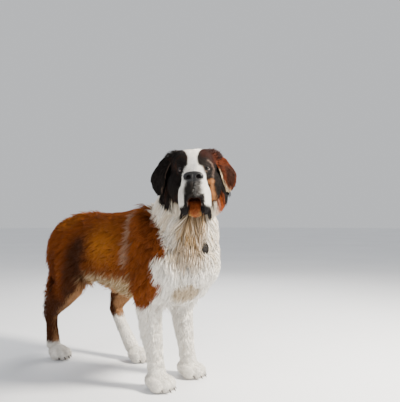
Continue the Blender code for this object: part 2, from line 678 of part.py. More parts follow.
def ear_flap(side):
    """An ear flap in head space, its edges curled towards the head."""
    mesh = bmesh.new()
    s = SIDES[side]
    width_way = Vector((EAR_WIDTH_WAY.x * s, EAR_WIDTH_WAY.y, 0)).normalized()
    stations = [(Vector((at.x * s, at.y, at.z)), *rest) for at, *rest in EAR]
    loops = []
    last = len(stations) - 1
    for i, (at, wide, thick, cup) in enumerate(stations):
        way = (stations[min(i + 1, last)][0] - stations[max(i - 1, 0)][0]).normalized()
        out = way.cross(width_way).normalized() * s
        loop = []
        for k in range(EAR_SIDES):
            a = 2 * math.pi * k / EAR_SIDES
            c, rise = math.cos(a), math.sin(a)
            loop.append(at + width_way * wide * c + out * (thick * rise - cup * c * c))
        loops.append(loop)
    bridge(mesh, loops)
    return mesh


def leg_sleeve(side, end, grown):
    """A closed sleeve round a whole leg, which parts the leg from the trunk."""
    s = SIDES[side]
    foot = (FORE_FOOT_Y if end == "fore" else HIND_FOOT_Y)[side]
    if end == "fore":
        rings = [
            ring(0.185 * s, -0.285, 0.555, 0.030, 0.050, 0.050),
            ring(0.160 * s, -0.278, 0.500, 0.058, 0.095, 0.095),
            ring(0.128 * s, -0.262, 0.420, 0.074, 0.105, 0.105),
            ring(FORE_TRACK * s, foot + 0.030, 0.330, 0.086, 0.100, 0.135),
            ring(FORE_TRACK * s, foot + 0.010, 0.200, 0.086, 0.100, 0.125),
            ring(FORE_TRACK * s, foot - 0.010, 0.040, 0.086, 0.120, 0.120),
        ]
    else:
        hip, middle, knee = (r.at for r in hind_limb(side)[0])
        hock = hind_limb(side)[1][-1].at
        rings = [
            ring(0.175 * s, hip.y - 0.005, 0.650, 0.030, 0.050, 0.050),
            ring(0.160 * s, hip.y - 0.005, 0.595, 0.060, 0.110, 0.110),
            ring(0.136 * s, middle.y + 0.030, 0.505, 0.080, 0.140, 0.180),
            ring(0.124 * s, knee.y * 0.7 + hock.y * 0.3, knee.z - 0.01, 0.080, 0.150, 0.150),
            ring(HIND_TRACK * s, hock.y - 0.030, 0.220, 0.080, 0.170, 0.120),
            ring(HIND_TRACK * s, (foot + hock.y) / 2, 0.100, 0.080, 0.170, 0.150),
            ring(HIND_TRACK * s, foot, 0.030, 0.080, 0.170, 0.170),
        ]
    mesh = bmesh.new()
    limb(mesh, rings, up=Vector((0, -1, 0)), fill=no_depth, sides=FACETS, steps=2)
    made = new_object("sleeve", mesh)
    if grown:
        sleeve = copy_of(made, "sleeve_grown", grown)
        bpy.data.objects.remove(made)
        return sleeve
    return made


def neck_side(grown):
    """A big box over all that lies on the neck's side of the cut between neck and trunk."""
    reach = 0.6
    where = Matrix.Translation(NECK_CUT_AT) @ NECK_CUT_WAY.to_track_quat("Z", "X").to_matrix().to_4x4()
    return box("neck_side", (-reach, -reach, -grown), (reach, reach, reach), where)


def take(body, regions, name):
    """Moves what the regions hold into a node of its own, parted from the body by the gap."""
    part = copy_of(body, name)
    boolean(part, [regions(0.0)], "INTERSECT")
    boolean(body, [regions(GAP)], "DIFFERENCE")
    keep_largest(part)
    return part


def build_body():
    """The torso, neck, legs and paws."""
    body = new_object("torso", body_form(core_depth))
    fuse(body, BODY_VOXEL, 10)
    thin(body, BODY_TRIANGLES)
    nodes = {"torso": body}
    for end in ("fore", "hind"):
        for side in SIDES:
            leg_name, paw_name = f"{end}leg_{side}", f"paw_{end}_{side}"
            leg = take(body, lambda grown: leg_sleeve(side, end, grown), leg_name)
            boolean(leg, [box("below", (-1, -1, -1), (1, 1, PAW_TOP + GAP))], "DIFFERENCE")
            paw = new_object(paw_name, paw_form(side, end))
            fuse(paw, HEAD_VOXEL, 3)
            thin(paw, PAW_TRIANGLES)
            boolean(paw, claws(side, end), "UNION")
            boolean(paw, [box("above", (-1, -1, PAW_TOP), (1, 1, 1)),
                          box("floor", (-1, -1, -1), (1, 1, 0))], "DIFFERENCE")
            nodes[leg_name], nodes[paw_name] = leg, paw
    nodes["neck"] = take(body, neck_side, "neck")
    return nodes


def build_head(neck):
    """The head, jaw, nose, eyes and ears, set over the top of the neck, and a tree of the head uncut."""
    where = head_matrix()
    head = new_object("head", head_form(), where)
    fuse(head, HEAD_VOXEL, 4)
    thin(head, HEAD_TRIANGLES)
    mesh = bmesh.new()
    limb(mesh, JAW)
    jaw = new_object("lower_jaw", mesh, where)
    fuse(jaw, HEAD_VOXEL, 4)
    thin(jaw, JAW_TRIANGLES)
    nose = new_object("nose", nose_form(), where)
    nodes = {"head": head, "lower_jaw": jaw, "nose": nose}
    whole = tree_of([head])
    boolean(jaw, [copy_of(neck, "neck_room", GAP)], "DIFFERENCE")
    mesh = bmesh.new()
    limb(mesh, MOUTH, fill=no_depth, sides=FACETS, steps=2)
    cuts = [copy_of(neck, "neck_room", GAP), copy_of(jaw, "jaw_room", GAP),
            copy_of(nose, "nose_room", GAP), new_object("mouth", mesh, where)]
    for side, s in SIDES.items():
        at = Vector((EYE_AT.x * s, EYE_AT.y, EYE_AT.z))
        way = Vector((EYE_WAY.x * s, EYE_WAY.y, EYE_WAY.z)).normalized()
        mesh = bmesh.new()
        bmesh.ops.create_icosphere(mesh, subdivisions=2, radius=EYE_RADIUS,
                                   matrix=Matrix.Translation(at) @ turned(way))
        eye = new_object("eye_" + side, mesh, where)
        nodes["eye_" + side] = eye
        cuts.append(copy_of(eye, "eye_room", GAP))
        mesh = bmesh.new()
        opening = Matrix.Translation(at + way * EYE_RADIUS) @ turned(way)
        bmesh.ops.create_icosphere(mesh, subdivisions=2, radius=1,
                                   matrix=opening @ Matrix.Diagonal((*LID_OPEN, 1)))
        cuts.append(new_object("lid_opening", mesh, where))
        ear = new_object("ear_" + side, ear_flap(side), where)
        boolean(ear, [copy_of(head, "head_room", GAP)], "DIFFERENCE")
        keep_largest(ear)
        boolean(neck, [copy_of(ear, "ear_room", GAP)], "DIFFERENCE")
        nodes["ear_" + side] = ear
    boolean(head, cuts, "DIFFERENCE")
    boolean(nose, nostrils(), "DIFFERENCE")
    return nodes, whole


def build_tail(fill=core_depth):
    """The hanging tail."""
    mesh = bmesh.new()
    limb(mesh, TAIL, up=Vector((0, 1, 0)), fill=fill, sides=FACETS, steps=2)
    return {"tail": new_object("tail", mesh)}


def tree_of(objects):
    """A search tree of the objects' faces."""
    points, faces = [], []
    for obj in objects:
        start = len(points)
        points.extend(v.co.copy() for v in obj.data.vertices)
        faces.extend([start + k for k in face.vertices] for face in obj.data.polygons)
    return BVHTree.FromPolygons(points, faces)


def body_lie(at):
    """The way the hair lies at this place of the body."""
    s = 1.0 if at.x >= 0 else -1.0
    way = Vector()
    for place, lean in LIE:
        apart = (Vector((abs(at.x), at.y, at.z)) - Vector(place)).length
        way += Vector(lean).normalized() * math.exp(-0.5 * (apart / LIE_REACH) ** 2)
    return Vector((way.x * s, way.y, way.z)).normalized()


def cheek_lie(at):
    """The way the long hair of the cheek hangs at this place."""
    where = head_matrix()
    s = 1.0 if (where.inverted() @ at).x >= 0 else -1.0
    return (where.to_3x3() @ Vector((CHEEK_LIE.x * s, CHEEK_LIE.y, CHEEK_LIE.z))).normalized()


def body_rise(at, out, trees):
    """How far the coat's tips stand over its core at this place of the body, or 0 for no lock."""
    if inside(trees["head"], at) or not inside(trees["core"], at - out * GAP):
        return 0.0
    near, normal, *_ = trees["core"].find_nearest(at)
    outer = trees["tips"].ray_cast(at, out, MOST_RISE)[3] or 0.0
    return outer if normal.dot(out) > ROOT_FACING and (near - at).length < ROOT_APART else 0.0


def cheek_rise(at, out, trees):
    """How far the hair stands out at this place of the head, or 0 where it is short."""
    local = head_matrix().inverted() @ at
    apart = (Vector((abs(local.x), local.y, local.z)) - CHEEK_LOCKS_AT).length
    return CHEEK_LOCKS_RISE if apart < CHEEK_LOCKS_REACH else 0.0


def inside(tree, at):
    """Whether the place lies inside the closed surface."""
    near, normal, *_ = tree.find_nearest(at)
    return (at - near).dot(normal) < 0


def roots_on(obj, spacing, draw):
    """Places spread evenly over the object's faces, with the way out of each."""
    areas = [face.area for face in obj.data.polygons]
    tries = draw.choices(range(len(areas)), weights=areas, k=int(ROOT_TRIES * sum(areas) / spacing ** 2))
    chosen = []
    for index in tries:
        corners = [obj.data.vertices[k].co for k in obj.data.polygons[index].vertices]
        a, b = sorted((draw.random(), draw.random()))
        at = corners[0] * a + corners[1] * (b - a) + corners[2] * (1 - b)
        if all((at - other).length > spacing for other, _ in chosen):
            chosen.append((at, obj.data.polygons[index].normal.copy()))
    return chosen


def lock_path(core, root, out, length, rise, swing, lie_at):
    """Points from a lock's root to its tip, each with the way out of the coat there."""
    step = length / (len(LOCK_PROFILE) - 1)
    lie = lie_at(root)
    way = (lie - out * lie.dot(out)).normalized()
    at = root - out * LOCK_SINK - way * step * LOCK_START
    path = [(at, out)]
    for share in LOCK_RISE[1:]:
        lie = lie_at(at)
        way = (way + lie - out * lie.dot(out) * LOCK_CLING + out.cross(way) * swing).normalized()
        at = at + way * step
        near, normal, *_ = core.find_nearest(at)
        height = (at - near).dot(normal)
        wanted = rise * share
        if height < wanted:
            at = near + normal * wanted
        out = (out + normal).normalized()
        path.append((at, out))
    return path


def blade(name, path, wide, thick):
    """A flat lock along the path, pointed at its tip, as a closed object."""
    mesh = bmesh.new()
    last = len(path) - 1
    loops = []
    for k, (at, out) in enumerate(path[:-1]):
        way = (path[k + 1][0] - path[max(k - 1, 0)][0]).normalized()
        side = way.cross(out).normalized()
        out = side.cross(way)
        half, depth = wide * LOCK_PROFILE[k] / 2, thick * LOCK_PROFILE[k] / 2
        loops.append([mesh.verts.new(at + reach) for reach in (
            side * half - out * depth * UNDERSIDE, out * depth,
            -side * half - out * depth * UNDERSIDE)])
    tip = mesh.verts.new(path[last][0])
    for a, b in zip(loops, loops[1:]):
        for k in range(3):
            mesh.faces.new((a[k], a[(k + 1) % 3], b[(k + 1) % 3], b[k]))
    for k in range(3):
        mesh.faces.new((loops[-1][k], loops[-1][(k + 1) % 3], tip))
    mesh.faces.new(loops[0][::-1])
    return new_object(name, mesh)


def grow_locks(name, obj, trees, rooms, draw):
    """The node's locks as one object, clear of the rooms."""
    size = LOCKS[name]
    rise_at, lie_at = (cheek_rise, cheek_lie) if name == "head" else (body_rise, body_lie)
    blades = []
    for root, out in roots_on(obj, size.spacing, draw):
        rise = rise_at(root, out, trees)
        if rise < LEAST_RISE:
            continue
        path = lock_path(trees["core"], root, out, size.length * draw.uniform(*LOCK_RANGE),
                         rise * draw.uniform(*RISE_RANGE),
                         draw.uniform(-LOCK_SWING, LOCK_SWING), lie_at)
        wide = size.wide * draw.uniform(*LOCK_RANGE)
        blades.append(blade("lock", path, wide, wide * LOCK_THICK))
    boolean(blades[0], blades[1:], "UNION")
    boolean(blades[0], rooms, "DIFFERENCE")
    return blades[0]


def build_collar(neck):
    """The collar, a band let into the neck's surface."""
    where = Matrix.Translation(COLLAR_AT) @ COLLAR_WAY.to_track_quat("Z", "X").to_matrix().to_4x4()
    half = COLLAR_WIDE / 2
    collar = copy_of(neck, "collar", COLLAR_PROUD)
    boolean(collar, [box("band", (-1, -1, -half), (1, 1, half), where)], "INTERSECT")
    boolean(collar, [copy_of(neck, "inside", -COLLAR_DEEP)], "DIFFERENCE")
    keep_largest(collar)
    return {"collar": collar}


def tag_place(core, tips):
    """Where the tag lies on the throat: a matrix whose -Y points out of the coat."""
    inner, *_ = core.ray_cast(Vector((TAG_X, -1, TAG_Z)), Vector((0, 1, 0)))
    outer, way, *_ = tips.ray_cast(Vector((TAG_X, -1, TAG_Z)), Vector((0, 1, 0)))
    return Matrix.Translation(inner.lerp(outer, TAG_DEPTH)) @ turned(way)


def build_tag(lie, collar):
    """The tag in its place and the ring that hangs it on the collar."""
    upright = Matrix.Rotation(math.pi / 2, 4, "X")
    mesh = bmesh.new()
    bmesh.ops.create_cone(mesh, cap_ends=True, segments=TAG_SIDES, radius1=1, radius2=1, depth=1,
                          matrix=lie @ upright
                          @ Matrix.Diagonal((TAG_WIDE / 2, TAG_TALL / 2, TAG_THICK, 1)))
    tag = new_object("tag", mesh)
    hole_at = lie @ Vector((0, 0, TAG_TALL / 2 - TAG_HOLE_DROP))
    mesh = bmesh.new()
    bmesh.ops.create_cone(mesh, cap_ends=True, segments=RING_TURNS, radius1=TAG_HOLE / 2,
                          radius2=TAG_HOLE / 2, depth=3 * TAG_THICK,
                          matrix=Matrix.Translation(hole_at) @ lie.to_3x3().to_4x4() @ upright)
    boolean(tag, [new_object("hole", mesh)], "DIFFERENCE")
    hold, *_ = tree_of([collar]).find_nearest(hole_at)
    rise = (hold - hole_at).normalized()
    radius = max(((hold - hole_at).length + RING_BITE) / 2, RING_LEAST)
    flat = rise.cross(lie.to_3x3() @ Vector((1, 0, 0))).normalized()
    thick = rise.cross(flat)
    middle = hole_at + rise * radius
    mesh = bmesh.new()
    turns = []
    for i in range(RING_TURNS):
        a = 2 * math.pi * i / RING_TURNS
        turn = []
        for k in range(RING_FACETS):
            b = 2 * math.pi * k / RING_FACETS
            out = radius + RING_WIRE * math.cos(b)
            turn.append(mesh.verts.new(middle + thick * RING_WIRE * math.sin(b)
                                       + (rise * math.cos(a) + flat * math.sin(a)) * out))
        turns.append(turn)
    for here, there in zip(turns, turns[1:] + turns[:1]):
        for k in range(RING_FACETS):
            n = (k + 1) % RING_FACETS
            mesh.faces.new((here[k], here[n], there[n], there[k]))
    ring_made = new_object("tag_ring", mesh)
    boolean(tag, [copy_of(ring_made, "ring_room", GAP)], "DIFFERENCE")
    return {"tag": tag, "tag_ring": ring_made}


def coat_trees(nodes):
    """Search trees of the coat's core with the head on it, and of the coat's tips."""
    core = new_object("core", body_form(core_depth))
    tips = new_object("tips", body_form(whole_depth))
    for made in (core, tips):
        fuse(made, BODY_VOXEL, 10)
    tail_tips = build_tail(whole_depth)["tail"]
    trees = {"core": tree_of([core, nodes["tail"], nodes["head"]]), "tips": tree_of([tips, tail_tips])}
    for made in (core, tips, tail_tips):
        bpy.data.objects.remove(made)
    return trees


def build_locks(nodes, trees, window):
    """Joins to each node that has a long coat its locks, the ones above over the ones below."""
    draw = random.Random(SEED)
    for name in LOCKS:
        rooms = [copy_of(other, "room", grown) for key, other in nodes.items() if key != name
                 for grown in (GAP, 0.0)]
        rooms.append(copy_of(window, "window"))
        locks = grow_locks(name, nodes[name], trees, rooms, draw)
        boolean(nodes[name], [locks], "UNION")
    bpy.data.objects.remove(window)


def stand_on_floor(nodes):
    """Moves all so that the origin is on the floor under the middle of the whole."""
    corners = np.array([v.co for obj in nodes.values() for v in obj.data.vertices])
    low, high = corners.min(axis=0), corners.max(axis=0)
    shift = Matrix.Translation((-(low[0] + high[0]) / 2, -(low[1] + high[1]) / 2, -low[2]))
    for obj in nodes.values():
        obj.data.transform(shift)


def main():
    """Builds the dog."""
    clear_scene()
    nodes = build_body()
    nodes.update(build_collar(nodes["neck"]))
    head_nodes, head_tree = build_head(nodes["neck"])
    nodes.update(head_nodes)
    nodes.update(build_tail())
    trees = coat_trees(nodes)
    trees["head"] = head_tree
    lie = tag_place(trees["core"], trees["tips"])
    nodes.update(build_tag(lie, nodes["collar"]))
    boolean(nodes["neck"], [copy_of(nodes[name], name + "_room", GAP)
                            for name in ("collar", "tag_ring")], "DIFFERENCE")
    boolean(nodes["collar"], [copy_of(nodes["tag_ring"], "ring_room", GAP)], "DIFFERENCE")
    boolean(nodes["tail"], [copy_of(nodes["torso"], "torso_room", GAP)], "DIFFERENCE")
    half_wide, half_tall = TAG_WIDE / 2 + TAG_EDGE, TAG_TALL / 2 + TAG_EDGE
    window = box("window", (-half_wide, -TAG_VIEW, -half_tall), (half_wide, 0, half_tall), lie)
    build_locks(nodes, trees, window)
    for name, obj in nodes.items():
        tidy(obj)
        kind = next(kind for kind in FINISHES if name.startswith(kind))
        obj.data.materials.clear()
        obj.data.materials.append(material(name, *FINISHES[kind]))
    stand_on_floor(nodes)


main()
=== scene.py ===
"""Looks of a life-size, still Saint Bernard: skin, coat, eyes, nose, claws, collar and tag.

Metres, +Z up. The dog faces -Y, so its left side is +X. All forms are stated in the dog's own
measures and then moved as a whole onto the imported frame.
"""

import logging
import math
from dataclasses import dataclass, field
from enum import Enum
from typing import Callable

import bmesh
import bpy
import numpy as np
from mathutils import Euler, Matrix, Vector
from mathutils.bvhtree import BVHTree
from mathutils.kdtree import KDTree


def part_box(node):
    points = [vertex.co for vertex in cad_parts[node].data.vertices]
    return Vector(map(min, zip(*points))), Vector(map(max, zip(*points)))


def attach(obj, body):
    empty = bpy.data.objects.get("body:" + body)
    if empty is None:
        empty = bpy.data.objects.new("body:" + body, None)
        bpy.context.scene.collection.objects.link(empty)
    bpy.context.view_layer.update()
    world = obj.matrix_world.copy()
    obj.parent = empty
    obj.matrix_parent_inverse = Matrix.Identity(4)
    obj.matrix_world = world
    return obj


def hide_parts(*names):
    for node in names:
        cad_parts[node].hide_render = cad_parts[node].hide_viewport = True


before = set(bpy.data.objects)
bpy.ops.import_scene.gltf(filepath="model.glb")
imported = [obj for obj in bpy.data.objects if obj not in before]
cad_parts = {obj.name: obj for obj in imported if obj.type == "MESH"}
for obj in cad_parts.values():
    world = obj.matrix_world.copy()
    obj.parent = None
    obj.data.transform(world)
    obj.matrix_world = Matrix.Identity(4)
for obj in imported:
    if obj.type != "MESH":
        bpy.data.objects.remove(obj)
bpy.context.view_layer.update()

BAKE_MAP = "OFBake"
COAT_COLOUR = "coat_colour"
BODY = "root"
SEED = 20
LOG = logging.getLogger("saint_bernard")

Row = tuple[float, ...]
Triple = tuple[float, float, float]


class Side(Enum):
    """The dog's own sides."""

    RIGHT = -1.0
    LEFT = 1.0

    @property
    def word(self) -> str:
        """The side's name in lower case."""
        return self.name.lower()


class Zone(Enum):
    """Regions of the skin whose coat differs."""

    BODY = 0
    HEAD = 1
    EAR = 2
    PAW = 3
    TAIL = 4


def ring(x: float, y: float, z: float, side: float, above: float, below: float,
         coat: float = 0.010, fringe: float | None = None) -> Row:
    """One ring of a limb: middle, half width, reach above and below, coat's depth there.

    Args:
        x, y, z: Middle of the ring.
        side: Half its width.
        above: Reach above its middle.
        below: Reach below its middle.
        coat: Depth of the coat.
        fringe: Depth of the coat below, where it differs.

    Returns:
        The ring as a row of eight numbers.
    """
    return (x, y, z, side, above, below, coat, coat if fringe is None else fringe)


def smooth_step(low: float, high: float, value: np.ndarray) -> np.ndarray:
    """A soft step from 0 at low to 1 at high.

    Args:
        low: Where the step starts; it may lie above high, which turns the step round.
        high: Where it ends.
        value: Where to read it.

    Returns:
        The step's height at each value.
    """
    t = np.clip((value - low) / (high - low), 0, 1)
    return t * t * (3 - 2 * t)


def unit(rows: np.ndarray) -> np.ndarray:
    """Each row at length 1."""
    return rows / np.maximum(np.linalg.norm(rows, axis=1, keepdims=True), 1e-12)


def blob(at: np.ndarray, middle: Triple, reach: Triple) -> np.ndarray:
    """A soft egg-shaped mask.

    Args:
        at: Places, one a row.
        middle: The egg's middle.
        reach: How far it reaches along each axis.

    Returns:
        1 well inside, falling to 0 outside.
    """
    far = np.linalg.norm((at - np.array(middle)) / np.array(reach), axis=1)
    return smooth_step(1.25, 0.75, far)


def capsule(at: np.ndarray, start: Triple, end: Triple, radius: float, soft: float) -> np.ndarray:
    """A soft mask round a straight line.

    Args:
        at: Places, one a row.
        start: One end of the line.
        end: Its other end.
        radius: How far the mask reaches from the line.
        soft: How wide its edge is.

    Returns:
        1 inside, falling to 0 outside.
    """
    a, b = np.array(start), np.array(end)
    t = np.clip((at - a) @ (b - a) / max(float((b - a) @ (b - a)), 1e-12), 0, 1)
    far = np.linalg.norm(at - (a + t[:, None] * (b - a)), axis=1)
    return smooth_step(radius + soft / 2, radius - soft / 2, far)


def ripple(at: np.ndarray, size: float, seed: int) -> np.ndarray:
    """A smooth random wave over space, between about -1 and 1.

    Args:
        at: Places, one a row.
        size: About how far apart its crests lie.
        seed: Which wave it is.

    Returns:
        Its height at each place.
    """
    draw = np.random.default_rng(seed)
    ways = unit(draw.normal(size=(7, 3))) * (2 * math.pi / size) * draw.uniform(0.6, 1.6, (7, 1))
    return np.sin(at @ ways.T + draw.uniform(0, 2 * math.pi, 7)).mean(axis=1) * 1.9


@dataclass(frozen=True)
class Loft:
    """A closed limb through a row of rings, with round ends."""

    rows: tuple[Row, ...]
    up: Triple = (0.0, 0.0, 1.0)
    power: float = 2.0
    sides: int = 40
    steps: int = 5

    def curve(self) -> np.ndarray:
        """The rings with more between them, on a smooth curve."""
        rows = np.array(self.rows)
        padded = np.vstack([2 * rows[0] - rows[1], rows, 2 * rows[-1] - rows[-2]])
        out = []
        for i in range(len(rows) - 1):
            p0, p1, p2, p3 = padded[i:i + 4]
            for t in np.arange(self.steps) / self.steps:
                out.append(0.5 * (2 * p1 + (p2 - p0) * t + (2 * p0 - 5 * p1 + 4 * p2 - p3) * t ** 2
                                  + (3 * p1 - p0 - 3 * p2 + p3) * t ** 3))
        return np.array([*out, rows[-1]])

    def outline(self, row: np.ndarray, across: np.ndarray, over: np.ndarray, depth: float,
                shrink: float = 1.0) -> np.ndarray:
        """The points of one ring.

        Args:
            row: The ring.
            across: The way across it.
            over: The way up it.
            depth: How much of the coat's depth is added, from 0 to 1.
            shrink: The ring's share of its full size.

        Returns:
            The points, one a row.
        """
        a = 2 * math.pi * np.arange(self.sides) / self.sides
        c = np.sign(np.cos(a)) * np.abs(np.cos(a)) ** (2 / self.power)
        s = np.sign(np.sin(a)) * np.abs(np.sin(a)) ** (2 / self.power)
        side, above, below, coat, fringe = row[3:]
        wide = side + depth * (coat + (fringe - coat) * 0.15 * (1 - s))
        tall = np.where(s > 0, above + depth * coat, below + depth * fringe)
        return row[:3] + ((c * wide)[:, None] * across + (s * tall)[:, None] * over) * shrink

    def add_to(self, mesh: bmesh.types.BMesh, depth: float) -> None:
        """Adds the limb to a mesh.

        Args:
            mesh: What it is added to.
            depth: How much of the coat's depth is added, from 0 for the skin to 1 for the tips.
        """
        rows = self.curve()
        last = len(rows) - 1
        loops = []
        for i, row in enumerate(rows):
            way = Vector(rows[min(i + 1, last)][:3] - rows[max(i - 1, 0)][:3]).normalized()
            across = way.cross(Vector(self.up)).normalized()
            over = across.cross(way)
            frame_of = (np.array(across), np.array(over), depth)
            loops.append(self.outline(row, *frame_of))
            if i in (0, last):
                bulge = np.array(-way if i == 0 else way) * min(row[3], row[4]) * 0.6
                caps = []
                for a in (0.45, 0.85, 1.2):
                    moved = row.copy()
                    moved[:3] += bulge * math.sin(a)
                    caps.append(self.outline(moved, *frame_of, shrink=math.cos(a)))
                loops[-1:] = caps[::-1] + loops[-1:] if i == 0 else loops[-1:] + caps
        bridge(mesh, loops)


def bridge(mesh: bmesh.types.BMesh, loops: list[np.ndarray]) -> None:
    """Joins rows of points into a closed tube.

    Args:
        mesh: What the tube is added to.
        loops: The rows of points, from one end to the other.
    """
    rows = [[mesh.verts.new(p) for p in loop] for loop in loops]
    count = len(rows[0])
    for a, b in zip(rows, rows[1:]):
        for k in range(count):
            n = (k + 1) % count
            mesh.faces.new((a[k], a[n], b[n], b[k]))
    mesh.faces.new(rows[0][::-1])
    mesh.faces.new(rows[-1])


@dataclass(frozen=True)
class Mass:
    """A rounded mass: middle and reach along each axis."""

    at: Triple
    reach: Triple

    def add_to(self, mesh: bmesh.types.BMesh, grown: float = 0.0, side: Side = Side.LEFT) -> None:
        """Adds the mass to a mesh.

        Args:
            mesh: What it is added to.
            grown: How far its skin is moved out.
            side: The side of the body that it lies on.
        """
        place = Matrix.Translation((self.at[0] * side.value, self.at[1], self.at[2]))
        reach = [r + grown for r in self.reach]
        bmesh.ops.create_icosphere(mesh, subdivisions=4, radius=1,
                                   matrix=place @ Matrix.Diagonal((*reach, 1)))


def object_of(name: str, mesh: bmesh.types.BMesh, where: Matrix = Matrix()) -> bpy.types.Object:
    """An object that holds a mesh.

    Args:
        name: The object's name.
        mesh: Its mesh, which is used up.
        where: A matrix its points are moved by.

    Returns:
        The object, at the origin.
    """
    bmesh.ops.recalc_face_normals(mesh, faces=mesh.faces)
    bmesh.ops.triangulate(mesh, faces=mesh.faces)
    data = bpy.data.meshes.new(name)
    mesh.to_mesh(data)
    mesh.free()
    data.transform(where)
    made = bpy.data.objects.new(name, data)
    bpy.context.scene.collection.objects.link(made)
    return made


def select_only(obj: bpy.types.Object) -> None:
    """Makes this the only selected object and the active one."""
    bpy.ops.object.select_all(action="DESELECT")
    obj.select_set(True)
    bpy.context.view_layer.objects.active = obj


def apply_modifier(obj: bpy.types.Object, kind: str, **values: object) -> None:
    """Adds a modifier with these values to an object and applies it."""
    select_only(obj)
    modifier = obj.modifiers.new(kind.lower(), kind)
    for key, value in values.items():
        setattr(modifier, key, value)
    bpy.ops.object.modifier_apply(modifier=modifier.name)


def fuse(obj: bpy.types.Object, voxel: float, smoothing: int) -> None:
    """Makes an object's overlapping shells one smooth skin.

    Args:
        obj: The object.
        voxel: How fine the skin is.
        smoothing: How often it is smoothed.
    """
    apply_modifier(obj, "REMESH", mode="VOXEL", voxel_size=voxel)
    apply_modifier(obj, "SMOOTH", factor=0.5, iterations=smoothing)


def join(obj: bpy.types.Object, others: list[bpy.types.Object], operation: str = "UNION") -> None:
    """Joins other closed objects to an object, or cuts it by them, and removes them.

    Args:
        obj: The object that is kept.
        others: The closed objects that are used up.
        operation: UNION, DIFFERENCE or INTERSECT.
    """
    for other in others:
        apply_modifier(obj, "BOOLEAN", object=other, operation=operation, solver="MANIFOLD")
        bpy.data.objects.remove(other)


def tree_of(obj: bpy.types.Object) -> BVHTree:
    """A search tree of an object's faces."""
    data = obj.data
    return BVHTree.FromPolygons([v.co for v in data.vertices],
                                [tuple(p.vertices) for p in data.polygons])


def points_of(obj: bpy.types.Object) -> np.ndarray:
    """An object's points, one a row."""
    out = np.empty(len(obj.data.vertices) * 3)
    obj.data.vertices.foreach_get("co", out)
    return out.reshape(-1, 3)


def set_points(obj: bpy.types.Object, points: np.ndarray) -> None:
    """Moves an object's points to these places."""
    obj.data.vertices.foreach_set("co", points.ravel())
    obj.data.update()


def normals_of(obj: bpy.types.Object) -> np.ndarray:
    """The way out of an object's skin at each point."""
    out = np.empty(len(obj.data.vertices) * 3, np.float32)
    obj.data.vertex_normals.foreach_get("vector", out)
    return out.reshape(-1, 3).astype(float)


def smooth_shade(obj: bpy.types.Object) -> None:
    """Shades all faces of an object smooth."""
    obj.data.polygons.foreach_set("use_smooth", np.ones(len(obj.data.polygons), bool))
    obj.data.update()


@dataclass(frozen=True)
class HeadPlace:
    """Where the head is held: its own frame has its origin midway between the eyes."""

    eye_line: Triple = (-0.120, -0.500, 0.885)
    yaw: float = -49.0
    pitch: float = -6.0
    roll: float = -2.5
    size: float = 1.12
    eye_at: Triple = (0.0425, -0.012, 0.0)
    eye_way: Triple = (0.30, -0.95, 0.02)

    def matrix(self) -> Matrix:
        """From head space to the dog's measures."""
        turn = Euler([math.radians(a) for a in (self.pitch, self.roll, self.yaw)], "XYZ")
        return (Matrix.Translation(self.eye_line) @ turn.to_matrix().to_4x4()
                @ Matrix.Scale(self.size, 4))

    def to_head(self, at: np.ndarray) -> np.ndarray:
        """Places in the dog's measures as places in head space."""
        m = np.array(self.matrix().inverted())
        return at @ m[:3, :3].T + m[:3, 3]

    def turned(self, ways: np.ndarray) -> np.ndarray:
        """Ways in head space as ways in the dog's measures, at length 1."""
        return unit(ways @ np.array(self.matrix())[:3, :3].T)

    def eye(self, side: Side) -> tuple[Vector, Vector]:
        """Middle of an eye and where it looks, in head space."""
        x, y, z = self.eye_at
        way = Vector((self.eye_way[0] * side.value, *self.eye_way[1:])).normalized()
        return Vector((x * side.value, y, z)), way


HEAD = HeadPlace()


def frame_shift() -> Vector:
    """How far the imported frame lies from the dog's own measures."""
    low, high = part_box("eye_right")
    middle, _ = HEAD.eye(Side.RIGHT)
    return (low + high) / 2 - HEAD.matrix() @ middle


SHIFT = frame_shift()


def settle(obj: bpy.types.Object) -> None:
    """Moves a finished object's mesh from the dog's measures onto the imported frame."""
    obj.data.transform(Matrix.Translation(SHIFT))
    obj.data.update()


